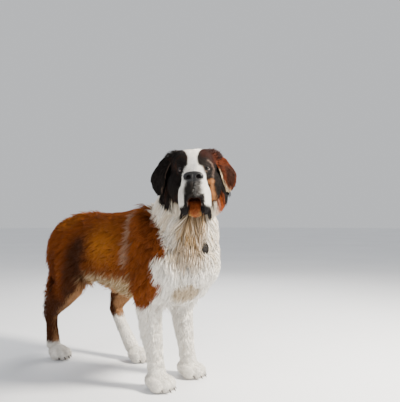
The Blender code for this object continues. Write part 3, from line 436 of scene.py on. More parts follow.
@dataclass(frozen=True)
class Build:
    """The dog's frame under its coat: trunk, neck and legs, with the coat's depth on each."""

    fore_track: float = 0.108
    hind_track: float = 0.115
    fore_foot: dict[Side, float] = field(
        default_factory=lambda: {Side.RIGHT: -0.275, Side.LEFT: -0.250})
    hind_foot: dict[Side, float] = field(
        default_factory=lambda: {Side.RIGHT: 0.435, Side.LEFT: 0.100})
    mass_coat: float = 0.018
    hind_paw_size: float = 0.92
    masses: tuple[Mass, ...] = (
        Mass((0.098, -0.325, 0.500), (0.054, 0.060, 0.085)),
        Mass((0.088, -0.190, 0.620), (0.052, 0.085, 0.105)),
        Mass((0.068, 0.400, 0.570), (0.066, 0.090, 0.110)),
        Mass((0.098, 0.210, 0.500), (0.045, 0.100, 0.080)),
    )
    toes: tuple[tuple[float, float], ...] = (
        (-0.037, -0.042), (-0.013, -0.062), (0.013, -0.062), (0.037, -0.042))

    def trunk(self) -> list[Loft]:
        """The trunk, neck and breast."""
        trunk = Loft((
            ring(0, -0.418, 0.500, 0.062, 0.070, 0.068, 0.030, 0.035),
            ring(0, -0.380, 0.505, 0.096, 0.115, 0.110, 0.034, 0.045),
            ring(0, -0.320, 0.525, 0.122, 0.155, 0.147, 0.030, 0.048),
            ring(0, -0.220, 0.540, 0.136, 0.192, 0.164, 0.024, 0.046),
            ring(0, -0.110, 0.545, 0.144, 0.188, 0.166, 0.022, 0.045),
            ring(0, 0.020, 0.550, 0.146, 0.164, 0.160, 0.020, 0.045),
            ring(0, 0.150, 0.560, 0.136, 0.148, 0.144, 0.020, 0.050),
            ring(0, 0.270, 0.572, 0.122, 0.136, 0.114, 0.020, 0.045),
            ring(0, 0.360, 0.575, 0.118, 0.128, 0.100, 0.020, 0.030),
            ring(0, 0.430, 0.575, 0.098, 0.108, 0.090, 0.020, 0.030),
            ring(0, 0.470, 0.575, 0.062, 0.070, 0.060, 0.020, 0.020)))
        neck = Loft((
            ring(0, -0.200, 0.610, 0.105, 0.105, 0.125, 0.020, 0.035),
            ring(0, -0.285, 0.675, 0.096, 0.086, 0.122, 0.034, 0.046),
            ring(-0.018, -0.350, 0.745, 0.092, 0.078, 0.104, 0.040, 0.052),
            ring(-0.036, -0.390, 0.812, 0.088, 0.080, 0.090, 0.034, 0.044),
            ring(-0.046, -0.404, 0.858, 0.070, 0.064, 0.060, 0.016, 0.020)))
        breast = Loft((
            ring(-0.030, -0.405, 0.735, 0.070, 0.048, 0.050, 0.034, 0.040),
            ring(-0.014, -0.395, 0.650, 0.086, 0.052, 0.052, 0.036, 0.044),
            ring(-0.004, -0.388, 0.560, 0.096, 0.056, 0.056, 0.036, 0.044),
            ring(0.000, -0.370, 0.480, 0.096, 0.056, 0.060, 0.034, 0.040),
            ring(0.000, -0.300, 0.410, 0.080, 0.050, 0.050, 0.030, 0.036)), up=(0, 1, 0))
        return [trunk, neck, breast]

    def fore_limb(self, side: Side) -> list[Loft]:
        """A foreleg's shoulder, upper arm and forearm."""
        s, foot = side.value, self.fore_foot[side]
        t = self.fore_track * s
        rows = (
            (ring(0.075 * s, -0.150, 0.680, 0.035, 0.055, 0.055, 0.015),
             ring(0.098 * s, -0.240, 0.590, 0.048, 0.075, 0.080, 0.018),
             ring(0.108 * s, -0.325, 0.500, 0.050, 0.062, 0.070, 0.022)),
            (ring(0.108 * s, -0.330, 0.490, 0.046, 0.055, 0.055, 0.022),
             ring(0.116 * s, -0.275, 0.430, 0.050, 0.070, 0.070, 0.020),
             ring(0.118 * s, -0.225, 0.375, 0.038, 0.048, 0.045, 0.020)),
            (ring(t, foot + 0.045, 0.405, 0.046, 0.056, 0.060, 0.014, 0.034),
             ring(t, foot + 0.030, 0.330, 0.041, 0.048, 0.050, 0.012, 0.040),
             ring(t, foot + 0.014, 0.240, 0.035, 0.036, 0.038, 0.010, 0.032),
             ring(t, foot + 0.006, 0.165, 0.034, 0.034, 0.034, 0.009, 0.016),
             ring(t, foot + 0.000, 0.110, 0.031, 0.032, 0.031, 0.009, 0.012),
             ring(t, foot - 0.010, 0.060, 0.036, 0.036, 0.034, 0.008, 0.008)),
        )
        return [Loft(part, up=(0, -1, 0)) for part in rows]

    def hind_limb(self, side: Side) -> list[Loft]:
        """A hind leg's thigh, lower thigh and pastern."""
        s, foot = side.value, self.hind_foot[side]
        t = self.hind_track * s
        knee, hock = {
            Side.RIGHT: (Vector((0.128 * s, 0.265, 0.385)), Vector((t, 0.488, 0.212))),
            Side.LEFT: (Vector((0.128 * s, 0.130, 0.410)), Vector((t, 0.262, 0.235))),
        }[side]
        hip = Vector((0.080 * s, 0.345, 0.605))
        middle = (hip + knee) / 2 + Vector((0.010 * s, 0.020, 0.010))
        ankle = Vector((t, foot + 0.030, 0.060))
        rows = (
            (ring(*hip, 0.056, 0.085, 0.100, 0.018, 0.040),
             ring(*middle, 0.062, 0.090, 0.105, 0.020, 0.050),
             ring(*knee, 0.046, 0.052, 0.070, 0.018, 0.050)),
            (ring(*knee, 0.044, 0.050, 0.066, 0.016, 0.050),
             ring(*knee.lerp(hock, 0.45), 0.038, 0.042, 0.056, 0.014, 0.040),
             ring(*knee.lerp(hock, 0.85), 0.028, 0.028, 0.030, 0.010, 0.016),
             ring(*hock, 0.026, 0.028, 0.026, 0.008, 0.010)),
            (ring(*(hock + Vector((0, -0.006, 0.004))), 0.026, 0.030, 0.028, 0.008, 0.012),
             ring(*hock.lerp(ankle, 0.45), 0.025, 0.027, 0.027, 0.008, 0.012),
             ring(*ankle, 0.032, 0.034, 0.030, 0.008, 0.008)),
        )
        return [Loft(part, up=(0, -1, 0)) for part in rows]

    def body_form(self, depth: float) -> bmesh.types.BMesh:
        """The trunk, neck and legs in one mesh of overlapping shells.

        Args:
            depth: How much of the coat's depth is added, from 0 to 1.

        Returns:
            The mesh.
        """
        mesh = bmesh.new()
        for loft in self.trunk():
            loft.add_to(mesh, depth)
        for side in Side:
            for loft in (*self.fore_limb(side), *self.hind_limb(side)):
                loft.add_to(mesh, depth)
            for one in self.masses:
                one.add_to(mesh, depth * self.mass_coat, side)
        return mesh

    def tail(self, depth: float) -> bmesh.types.BMesh:
        """The hanging tail in a mesh of its own.

        Args:
            depth: How much of the coat's depth is added, from 0 to 1.

        Returns:
            The mesh.
        """
        mesh = bmesh.new()
        Loft((
            ring(0.000, 0.430, 0.640, 0.034, 0.034, 0.034, 0.020, 0.020),
            ring(-0.005, 0.492, 0.628, 0.030, 0.030, 0.030, 0.024, 0.026),
            ring(-0.013, 0.526, 0.570, 0.024, 0.024, 0.024, 0.028, 0.034),
            ring(-0.024, 0.542, 0.490, 0.021, 0.021, 0.021, 0.034, 0.040),
            ring(-0.035, 0.550, 0.400, 0.018, 0.018, 0.018, 0.038, 0.044),
            ring(-0.045, 0.560, 0.315, 0.015, 0.015, 0.015, 0.036, 0.042),
            ring(-0.053, 0.576, 0.240, 0.011, 0.011, 0.011, 0.028, 0.032),
            ring(-0.058, 0.596, 0.185, 0.006, 0.006, 0.006, 0.010, 0.012)),
            up=(0, 1, 0)).add_to(mesh, depth)
        return mesh

    def paw_places(self) -> list[tuple[str, Vector, float]]:
        """Name, middle on the floor and size of each paw."""
        out = []
        for side in Side:
            s = side.value
            out.append((f"fore_{side.word}",
                        Vector((self.fore_track * s, self.fore_foot[side], 0)), 1.0))
            out.append((f"hind_{side.word}",
                        Vector((self.hind_track * s, self.hind_foot[side], 0)),
                        self.hind_paw_size))
        return out

    def paw(self, at: Vector, size: float, leg: Loft) -> bmesh.types.BMesh:
        """A paw with its toes and the end of the leg above it, in one mesh.

        Args:
            at: Its middle on the floor.
            size: Its share of a forepaw's size.
            leg: The part of the leg that ends in it.

        Returns:
            The mesh.
        """
        mesh = bmesh.new()
        Loft(leg.rows[-2:], up=leg.up).add_to(mesh, 0.0)
        Mass((at.x, at.y - 0.012, 0.036 * size),
             (0.045 * size, 0.056 * size, 0.036 * size)).add_to(mesh)
        for across, ahead in self.toes:
            Mass((at.x + across * size, at.y + ahead * size, 0.026 * size),
                 (0.0178 * size, 0.034 * size, 0.0265 * size)).add_to(mesh)
            Mass((at.x + across * size * 0.9, at.y + (ahead + 0.026) * size, 0.040 * size),
                 (0.0150 * size, 0.030 * size, 0.0185 * size)).add_to(mesh)
        return mesh


BUILD = Build()


@dataclass(frozen=True)
class Stroke:
    """A fold or ridge drawn on the left of the head, in head space."""

    line: tuple[Triple, ...]
    radius: float
    rise: float

    def move(self, at: np.ndarray, out: np.ndarray) -> np.ndarray:
        """Places after the fold or ridge on both sides of the head.

        Args:
            at: Places in head space, one a row.
            out: The way out of the skin at each.

        Returns:
            The moved places.
        """
        total = np.zeros(len(at))
        for side in Side:
            line = np.array(self.line) * (side.value, 1, 1)
            far = np.full(len(at), np.inf)
            for a, b in zip(line, line[1:]):
                t = np.clip((at - a) @ (b - a) / ((b - a) @ (b - a)), 0, 1)
                far = np.minimum(far, np.linalg.norm(at - (a + t[:, None] * (b - a)), axis=1))
            total = np.maximum(total, np.exp(-(far / self.radius) ** 2))
        return at + out * (total * self.rise)[:, None]


@dataclass(frozen=True)
class Head:
    """The head under its coat: skull, muzzle, hanging lips, jaw, cheeks and ears, in head space."""

    voxel: float = 0.0027
    smoothing: int = 5
    skull: Loft = Loft((
        ring(0, 0.160, 0.002, 0.054, 0.040, 0.050),
        ring(0, 0.130, 0.010, 0.072, 0.058, 0.066),
        ring(0, 0.095, 0.014, 0.080, 0.068, 0.076),
        ring(0, 0.050, 0.014, 0.080, 0.069, 0.078),
        ring(0, 0.018, 0.006, 0.070, 0.060, 0.070),
        ring(0, -0.004, -0.010, 0.056, 0.044, 0.054),
        ring(0, -0.018, -0.028, 0.044, 0.026, 0.040)), power=3.0)
    muzzle: Loft = Loft((
        ring(0, 0.030, -0.060, 0.058, 0.045, 0.050),
        ring(0, -0.015, -0.062, 0.045, 0.045, 0.052),
        ring(0, -0.055, -0.064, 0.040, 0.047, 0.050),
        ring(0, -0.086, -0.064, 0.039, 0.045, 0.048),
        ring(0, -0.106, -0.062, 0.034, 0.034, 0.044)), power=2.6)
    lips: Loft = Loft((
        ring(0, 0.060, -0.086, 0.050, 0.030, 0.026),
        ring(0, 0.022, -0.098, 0.052, 0.044, 0.048),
        ring(0, -0.020, -0.104, 0.053, 0.052, 0.058),
        ring(0, -0.060, -0.104, 0.053, 0.052, 0.061),
        ring(0, -0.084, -0.102, 0.049, 0.048, 0.059),
        ring(0, -0.098, -0.096, 0.039, 0.036, 0.050)), power=3.0)
    mouth: Loft = Loft((
        ring(0, -0.150, -0.152, 0.0295, 0.048, 0.050),
        ring(0, -0.100, -0.152, 0.0300, 0.048, 0.050),
        ring(0, -0.060, -0.152, 0.0320, 0.041, 0.050),
        ring(0, -0.010, -0.152, 0.0320, 0.030, 0.050),
        ring(0, 0.030, -0.152, 0.0290, 0.016, 0.040)))
    jaw: Loft = Loft((
        ring(0, 0.060, -0.104, 0.042, 0.026, 0.036),
        ring(0, 0.015, -0.124, 0.033, 0.024, 0.028),
        ring(0, -0.028, -0.134, 0.0285, 0.023, 0.026),
        ring(0, -0.062, -0.134, 0.0270, 0.024, 0.026),
        ring(0, -0.080, -0.134, 0.0240, 0.022, 0.022)))
    masses: tuple[Mass, ...] = (
        Mass((0.056, 0.062, -0.052), (0.040, 0.070, 0.062)),
        Mass((0.072, 0.106, -0.020), (0.040, 0.044, 0.074)),
        Mass((0.044, 0.036, -0.028), (0.034, 0.048, 0.034)),
        Mass((0.038, 0.010, 0.022), (0.026, 0.018, 0.014)),
        Mass((0.030, 0.090, -0.074), (0.052, 0.060, 0.048)),
        Mass((0.019, -0.092, -0.090), (0.022, 0.021, 0.033)),
        Mass((0.064, 0.072, 0.054), (0.030, 0.038, 0.027)),
    )
    strokes: tuple[Stroke, ...] = (
        Stroke(((0, -0.034, 0.004), (0, -0.014, 0.034), (0, 0.012, 0.062)), 0.007, -0.0035),
        Stroke(((0.020, -0.020, 0.022), (0.040, -0.014, 0.024), (0.060, 0.004, 0.016)),
               0.008, 0.0030),
        Stroke(((0.013, -0.012, 0.040), (0.030, -0.006, 0.046), (0.046, 0.004, 0.044)),
               0.005, -0.0018),
        Stroke(((0.026, -0.028, -0.016), (0.044, -0.022, -0.022), (0.062, -0.004, -0.014)),
               0.005, -0.0026),
        Stroke(((0.050, 0.012, -0.024), (0.056, 0.016, -0.060), (0.056, 0.026, -0.104)),
               0.008, -0.0035),
        Stroke(((0.034, -0.092, -0.070), (0.042, -0.056, -0.080), (0.050, -0.012, -0.086)),
               0.009, -0.0016),
        Stroke(((0, -0.128, -0.060), (0, -0.124, -0.080), (0, -0.120, -0.106)), 0.0032, -0.0040),
        Stroke(((0.026, -0.106, -0.146), (0.036, -0.086, -0.162), (0.040, -0.050, -0.166)),
               0.006, 0.0022),
    )
    ear_rows: tuple[Row, ...] = (
        (0.056, 0.070, 0.066, 0.021, 0.0090, 0.001),
        (0.078, 0.071, 0.063, 0.031, 0.0085, 0.003),
        (0.100, 0.072, 0.046, 0.040, 0.0070, 0.006),
        (0.119, 0.073, 0.025, 0.048, 0.0060, 0.009),
        (0.131, 0.074, 0.002, 0.051, 0.0052, 0.010),
        (0.131, 0.074, -0.024, 0.044, 0.0046, 0.008),
        (0.126, 0.073, -0.047, 0.029, 0.0042, 0.004),
        (0.121, 0.072, -0.063, 0.010, 0.0036, 0.001),
    )
    ear_width_way: Triple = (0.60, 0.80, 0.0)
    ear_shift: float = -0.004
    ear_sides: int = 36
    eye_room: float = 0.0116
    lid_thick: float = 0.0034
    lid_open: Triple = (0.0124, 0.0180, 0.0074)

    def skin(self) -> bpy.types.Object:
        """The head without its ears, as one closed object."""
        mesh = bmesh.new()
        for loft in (self.skull, self.muzzle, self.lips):
            loft.add_to(mesh, 0.0)
        for side in Side:
            for one in self.masses:
                one.add_to(mesh, side=side)
            at, _ = HEAD.eye(side)
            bmesh.ops.create_icosphere(mesh, subdivisions=4, radius=self.eye_room + self.lid_thick,
                                       matrix=Matrix.Translation(at))
        head = object_of("head_skin", mesh)
        fuse(head, self.voxel / HEAD.size, self.smoothing)
        mesh = bmesh.new()
        self.mouth.add_to(mesh, 0.0)
        join(head, [object_of("mouth", mesh)], "DIFFERENCE")
        mesh = bmesh.new()
        self.jaw.add_to(mesh, 0.0)
        join(head, [object_of("jaw", mesh)])
        fuse(head, self.voxel / HEAD.size, 2)
        at = points_of(head)
        for stroke in self.strokes:
            set_points(head, at)
            at = stroke.move(at, normals_of(head))
        set_points(head, at)
        join(head, self.sockets(), "DIFFERENCE")
        head.data.transform(HEAD.matrix())
        return head

    def sockets(self) -> list[bpy.types.Object]:
        """What opens the head for the eyes: the balls' rooms and the gaps between the lids."""
        made = []
        for side in Side:
            at, way = HEAD.eye(side)
            mesh = bmesh.new()
            bmesh.ops.create_icosphere(mesh, subdivisions=4, radius=self.eye_room,
                                       matrix=Matrix.Translation(at))
            made.append(object_of("socket", mesh))
            mesh = bmesh.new()
            turn = (-way).to_track_quat("Y", "Z").to_matrix().to_4x4()
            where = Matrix.Translation(at + way * self.eye_room) @ turn
            bmesh.ops.create_icosphere(mesh, subdivisions=4, radius=1,
                                       matrix=where @ Matrix.Diagonal((*self.lid_open, 1)))
            made.append(object_of("lid_gap", mesh))
        return made

    def ear_curve(self) -> np.ndarray:
        """The rings of the left ear, with more between them."""
        rows = np.array(self.ear_rows)
        padded = np.vstack([2 * rows[0] - rows[1], rows, 2 * rows[-1] - rows[-2]])
        out = []
        for i in range(len(rows) - 1):
            p0, p1, p2, p3 = padded[i:i + 4]
            for t in np.arange(5) / 5:
                out.append(0.5 * (2 * p1 + (p2 - p0) * t + (2 * p0 - 5 * p1 + 4 * p2 - p3) * t ** 2
                                  + (3 * p1 - p0 - 3 * p2 + p3) * t ** 3))
        return np.array([*out, rows[-1]])

    def ear(self, side: Side) -> bpy.types.Object:
        """An ear flap as a closed object, its edges curled towards the head."""
        mesh = bmesh.new()
        s = side.value
        wide_way = Vector((self.ear_width_way[0] * s, self.ear_width_way[1], 0)).normalized()
        rows = self.ear_curve() * (s, 1, 1, 1, 1, 1) + (self.ear_shift, 0, 0, 0, 0, 0)
        last = len(rows) - 1
        loops = []
        for i, (x, y, z, wide, thick, cup) in enumerate(rows):
            way = Vector(rows[min(i + 1, last)][:3] - rows[max(i - 1, 0)][:3]).normalized()
            out = np.array(way.cross(wide_way).normalized() * s)
            a = 2 * math.pi * np.arange(self.ear_sides) / self.ear_sides
            c, rise = np.cos(a)[:, None], np.sin(a)[:, None]
            loops.append(np.array((x, y, z)) + np.array(wide_way) * wide * c
                         + out * (thick * rise - cup * c * c))
        bridge(mesh, loops)
        ear = object_of("ear", mesh, HEAD.matrix())
        fuse(ear, self.voxel, 3)
        return ear


@dataclass(frozen=True)
class Palette:
    """Colours of the coat, some of them painted shade."""

    rust: Triple = (0.195, 0.048, 0.007)
    rust_dark: Triple = (0.085, 0.019, 0.004)
    orange: Triple = (0.400, 0.136, 0.018)
    ember: Triple = (0.290, 0.062, 0.013)
    tan: Triple = (0.460, 0.240, 0.110)
    gold: Triple = (0.270, 0.150, 0.042)
    cream: Triple = (0.680, 0.540, 0.350)
    white: Triple = (0.860, 0.825, 0.760)
    shadow_tan: Triple = (0.360, 0.250, 0.120)
    grey: Triple = (0.300, 0.205, 0.150)
    brown: Triple = (0.048, 0.016, 0.006)
    black: Triple = (0.010, 0.0075, 0.0065)
    ear_red: Triple = (0.098, 0.0195, 0.0045)
    head_red: Triple = (0.022, 0.0060, 0.0034)
    chin: Triple = (0.170, 0.037, 0.008)
    chin_dark: Triple = (0.045, 0.012, 0.005)
    lip: Triple = (0.010, 0.008, 0.008)


class Markings:
    """The coat's markings, with painted shade and a painted sheen, the same for the skin and for each tuft.
    """

    border_heights: Row = (0.31, 0.325, 0.344, 0.385, 0.411, 0.440, 0.465, 0.485, 0.508, 0.530,
                           0.545, 0.556, 0.571, 0.600, 0.651, 0.713, 0.794, 0.90)
    border_places: Row = (0.000, 0.085, 0.113, 0.142, 0.154, 0.148, 0.133, 0.121, 0.116, 0.126,
                          0.148, 0.184, 0.186, 0.172, 0.156, 0.118, 0.060, 0.05)

    def __init__(self, palette: Palette) -> None:
        """Keeps the colours that the markings are made of."""
        self.palette = palette

    @staticmethod
    def lay(under: np.ndarray, colour: Triple, mask: np.ndarray) -> np.ndarray:
        """A colour laid over others where the mask says."""
        mask = np.clip(mask, 0, 1)[:, None]
        return under * (1 - mask) + np.array(colour) * mask

    def body(self, at: np.ndarray) -> np.ndarray:
        """Colours of the trunk, neck, legs and tail.

        Args:
            at: Places in the dog's measures, one a row.

        Returns:
            A colour for each.
        """
        p = self.palette
        x, y, z = np.abs(at[:, 0]), at[:, 1], at[:, 2]
        even = np.stack([x, y, z], axis=1)
        col = np.tile(np.array(p.rust), (len(at), 1))
        col = self.lay(col, p.rust_dark, 0.30 * smooth_step(0.1, 0.9, ripple(at, 0.22, 3)))
        glow = np.exp(-((y - 0.040) / 0.125) ** 2 - ((z - 0.570) / 0.085) ** 2)
        col = self.lay(col, p.orange, 0.85 * glow)
        col = self.lay(col, p.orange, 0.30 * blob(even, (0.060, 0.380, 0.680), (0.10, 0.10, 0.06)))
        # Painted shade on the flank in the fold in front of the thighs.
        col = self.lay(col, p.rust_dark, 0.5 * np.exp(-((y - 0.190) / 0.070) ** 2 - ((z - 0.56) / 0.13) ** 2))
        line = ((0, -0.098, 0.717), (0, -0.130, 0.660), (0, -0.133, 0.540), (0, -0.125, 0.505))
        band = np.max([capsule(even * (0, 1, 1), *ends, 0.016, 0.034)
                       for ends in zip(line, line[1:])], axis=0)
        col = self.lay(col, (0.38, 0.26, 0.18), 0.62 * band)
        # Painted shade over the shoulders.
        col = self.lay(col, p.rust_dark, 0.65 * capsule(even, (0.118, -0.235, 0.690),
                                                        (0.128, -0.290, 0.600), 0.034, 0.060))
        # Dark brown on the thighs, partly their darker hair and partly painted shade.
        thigh = capsule(even, (0.155, 0.215, 0.560), (0.150, 0.265, 0.360), 0.055, 0.060)
        col = self.lay(col, p.brown, 0.92 * thigh)
        # Painted shade low on the back of the thighs, above the hocks.
        col = self.lay(col, p.rust_dark, 0.6 * blob(even, (0.150, 0.380, 0.420), (0.09, 0.05, 0.14)))
        ragged = z + 0.016 * ripple(at * (0.4, 1, 0.25), 0.018, 7)
        belly = smooth_step(0.455, 0.405, ragged) * smooth_step(-0.17, -0.09, y)
        belly *= smooth_step(0.225, 0.150, y)
        col = self.lay(col, p.shadow_tan, 0.90 * belly)
        col = self.lay(col, p.cream, 0.75 * belly * smooth_step(-0.3, 0.5, ripple(at, 0.030, 14)))
        lower = smooth_step(0.36, 0.28, z) * smooth_step(0.02, 0.06, y)
        col = self.lay(col, p.brown, 0.85 * lower)
        front = np.where(at[:, 0] > 0,
                         np.interp(z, (0.10, 0.20, 0.27, 0.33, 0.38), (0.13, 0.22, 0.235, 0.20, 0.15)),
                         np.interp(z, (0.10, 0.15, 0.20, 0.24, 0.284, 0.338, 0.38),
                                   (0.435, 0.440, 0.445, 0.388, 0.318, 0.246, 0.190)) + 0.004)
        col = self.lay(col, p.tan, 0.85 * smooth_step(0.010, -0.010, y - front)
                       * smooth_step(0.40, 0.36, z) * smooth_step(0.02, 0.06, y))
        sock = np.where(at[:, 0] > 0, 0.215, 0.085)
        col = self.lay(col, p.white, smooth_step(0.0, 0.02, sock - z) * smooth_step(-0.02, 0.02, y))
        tail = smooth_step(0.50, 0.51, y) * smooth_step(0.0, 0.05, 0.08 - x)
        col = self.lay(col, p.rust_dark, 0.5 * tail)
        col = self.lay(col, p.white, tail * smooth_step(0.24, 0.19, z))
        border = np.interp(z, self.border_heights, self.border_places)
        white = smooth_step(-0.007, 0.007, -0.664 * x - 0.748 * y - border)
        white *= smooth_step(-0.13, -0.17, y)
        leg = smooth_step(0.34, 0.31, z) * smooth_step(-0.10, -0.14, y)
        inner = smooth_step(0.098, 0.086, x) * smooth_step(0.44, 0.41, z) * smooth_step(-0.15, -0.19, y)
        white = np.maximum(white, np.maximum(leg, inner))
        warm = (0.20 + 0.55 * smooth_step(-0.2, 0.8, ripple(at, 0.05, 12))) * smooth_step(0.44, 0.56, z)
        pale = self.lay(np.tile(np.array(p.white), (len(at), 1)), p.cream, warm)
        pale = self.lay(pale, p.shadow_tan, 0.75 * blob(at, (-0.048, -0.390, 0.400),
                                                        (0.062, 0.070, 0.052)))
        # Painted shade under the chin: gold laid over the white down the throat, stronger higher up.
        fade = 0.55 + 0.40 * smooth_step(0.47, 0.60, z)
        fade *= 0.80 + 0.20 * ripple(at * (1, 1, 0.3), 0.016, 15)
        pale = self.lay(pale, p.gold, fade * capsule(at, (-0.085, -0.480, 0.735),
                                                     (-0.100, -0.455, 0.540), 0.066, 0.060))
        col = col * (1 - white[:, None]) + pale * white[:, None]
        spots = capsule(at, (-0.105, -0.318, 0.262), (-0.105, -0.318, 0.272), 0.010, 0.008)
        return self.lay(col, p.rust_dark, 0.7 * spots)

    def head(self, at: np.ndarray, ticks: np.ndarray) -> np.ndarray:
        """Colours of the head without its ears.

        Args:
            at: Places in head space, one a row.
            ticks: A random number from 0 to 1 for each, for single dark hairs among light ones.

        Returns:
            A colour for each.
        """
        p = self.palette
        x, y, z = at[:, 0], at[:, 1], at[:, 2]
        wide = np.abs(x)
        right, left = smooth_step(0.004, -0.004, x), smooth_step(-0.004, 0.004, x)
        flat = at * (1, 0, 1)
        col = np.tile(np.array(p.black), (len(at), 1))
        col = self.lay(col, p.brown, 0.35 * right * smooth_step(0.2, 1.0, ripple(at, 0.05, 5)))
        col = self.lay(col, p.head_red, left * smooth_step(0.036, 0.052, x + 0.35 * z)
                       * smooth_step(-0.002, 0.018, z))
        col = self.lay(col, p.ear_red, 0.6 * left * capsule(flat, (0.078, 0, 0.060),
                                                            (0.086, 0, 0.030), 0.008, 0.020))
        col = self.lay(col, p.black, 0.9 * left * blob(flat, (0.042, 0, 0.012),
                                                       (0.022, 0.1, 0.030)))
        uneven = flat + 0.005 * ripple(at, 0.020, 8)[:, None]
        col = self.lay(col, (0.38, 0.165, 0.065), 0.95 * left * capsule(
            uneven, (0.0600, 0, -0.046), (0.0620, 0, -0.100), 0.0100, 0.016))
        curve = ((0.050, 0, 0.029), (0.064, 0, 0.020), (0.0715, 0, 0.003), (0.066, 0, -0.028))
        line = np.max([capsule(flat, *ends, 0.0020, 0.006) for ends in zip(curve, curve[1:])],
                      axis=0)
        col = self.lay(col, (0.21, 0.145, 0.115), 0.62 * left * line)
        hem = np.where(x > 0, 0.0, -0.008)
        below_cheek = smooth_step(-0.113, -0.121, z + uneven[:, 0] - x - hem)
        col = self.lay(col, (0.76, 0.68, 0.56), below_cheek * smooth_step(0.054, 0.058, wide))
        corner = np.maximum(capsule(flat, (0.0325, 0, 0.004), (0.0340, 0, -0.004), 0.0016, 0.004),
                            capsule(flat, (0.0365, 0, -0.0110), (0.0450, 0, -0.0125), 0.0013, 0.004))
        col = self.lay(col, p.grey, 0.70 * left * corner)
        col = self.lay(col, p.ember, left * capsule(uneven, (0.100, 0, -0.127),
                                                    (0.094, 0, -0.175), 0.022, 0.020))
        # Painted shadow that the left ear casts on the cheek, a black strip in front of the ear.
        col = self.lay(col, p.black, left * capsule(flat, (0.083, 0, 0.020), (0.082, 0, -0.080),
                                                    0.009, 0.008))
        blaze = np.interp(z, (-0.010, 0.004, 0.016, 0.042, 0.066, 0.080), (0.034, 0.027, 0.0175, 0.0155, 0.0240, 0.0330))
        off = np.abs(x + np.interp(z, (0.0, 0.02), (0.0, 0.0025)))
        white = smooth_step(0.003, -0.003, off - blaze) * smooth_step(0.105, 0.085, y)
        half = np.interp(z, (-0.060, -0.045, -0.025, -0.010, 0.004), (0.060, 0.050, 0.042, 0.035, 0.030))
        back = np.interp(z, (-0.150, -0.100, -0.045, -0.020, 0.000), (0.010, -0.004, -0.016, -0.024, -0.020))
        muzzle = smooth_step(0.004, -0.004, wide - half) * smooth_step(0.005, -0.005, y - back)
        white = np.maximum(white, muzzle * smooth_step(0.012, 0.000, z))
        col = self.lay(col, p.white, white)
        shade = blob(at, (0.0, -0.035, 0.006), (0.013, 0.03, 0.040))
        col = self.lay(col, (0.52, 0.53, 0.55), 0.5 * shade)
        chin = smooth_step(0.0300, 0.0284, wide) * smooth_step(-0.104, -0.110, z)
        chin *= smooth_step(-0.118, -0.106, y)
        col = self.lay(col, p.chin, chin)
        patchy = 0.75 * chin * smooth_step(-0.1, 0.8, ripple(at, 0.016, 9))
        col = self.lay(col, p.ember, 0.35 * patchy)
        # Painted shade under the lips, darkening the top of the chin.
        col = self.lay(col, p.chin_dark, chin * smooth_step(-0.134, -0.116, z))
        under = smooth_step(-0.148, -0.166, z) * smooth_step(0.026, 0.016, wide)
        col = self.lay(col, (0.30, 0.125, 0.040), 0.70 * under * (ticks > 0.45))
        taper = np.interp(z, (-0.172, -0.160, -0.148), (0.006, 0.014, 0.030))
        fringe = smooth_step(-0.003, 0.003, wide + 0.6 * (uneven[:, 0] - x) - taper)
        fringe *= smooth_step(-0.140, -0.150, z) * smooth_step(0.034, 0.028, wide)
        col = self.lay(col, p.gold, 0.85 * fringe * (ticks > 0.25))
        lip = smooth_step(-0.134, -0.144, z) * smooth_step(0.016, 0.020, wide)
        lip *= smooth_step(0.06, 0.03, y)
        inner = smooth_step(0.0355, 0.0325, wide) * smooth_step(-0.096, -0.104, z)
        lip = np.maximum(lip * smooth_step(0.057, 0.052, wide), inner * (chin < 0.5))
        col = self.lay(col, p.lip, lip)
        col = self.lay(col, p.lip, blob(at, (0.0, -0.108, -0.046), (0.0335, 0.035, 0.0215)))
        near_nose = blob(at, (0.0, -0.112, -0.066), (0.029, 0.035, 0.014))
        col = self.lay(col, (0.030, 0.028, 0.028), near_nose)
        below = blob(at, (-0.005, -0.112, -0.088), (0.031, 0.040, 0.027))
        dark = smooth_step(0.006, -0.006, x)
        col = self.lay(col, (0.16, 0.15, 0.14), below * (1 - dark))
        return self.lay(col, (0.018, 0.015, 0.013), below * (ticks < 0.50 + 0.50 * dark))

    def ear(self, at: np.ndarray, inner: np.ndarray) -> np.ndarray:
        """Colours of the ears.

        Args:
            at: Places in head space, one a row.
            inner: From 0 outside to 1 on the side that faces the head.

        Returns:
            A colour for each.
        """
        p = self.palette
        left = at[:, 0] > 0
        col = np.where(left[:, None], np.array(p.ear_red), np.array(p.black))
        rows = np.array(Head.ear_rows)[:0:-1]
        middle = [np.interp(at[:, 2], rows[:, 2], rows[:, k]) for k in (0, 1, 3)]
        over = (np.abs(at[:, 0]) - middle[0]) * Head.ear_width_way[0]
        over = (over + (at[:, 1] - middle[1]) * Head.ear_width_way[1]) / middle[2]
        core = smooth_step(-0.85, -0.50, over) * smooth_step(0.90, 0.50, over)
        core *= smooth_step(-0.066, -0.044, at[:, 2]) * smooth_step(0.040, 0.008, at[:, 2])
        col = self.lay(col, (0.018, 0.007, 0.004), 0.85 * core * left)
        front = smooth_step(-0.86, -0.98, over)
        rim = np.maximum(front * smooth_step(0.016, -0.010, at[:, 2]),
                         smooth_step(-0.060, -0.068, at[:, 2]))
        col = self.lay(col, p.cream, 0.80 * rim * left)
        # Painted sheen: a pale grey line along the front edge of the black right ear.
        col = self.lay(col, p.grey, 0.30 * front * smooth_step(0.055, 0.035, at[:, 2]) * ~left)
        return self.lay(col, p.black, 0.7 * inner)


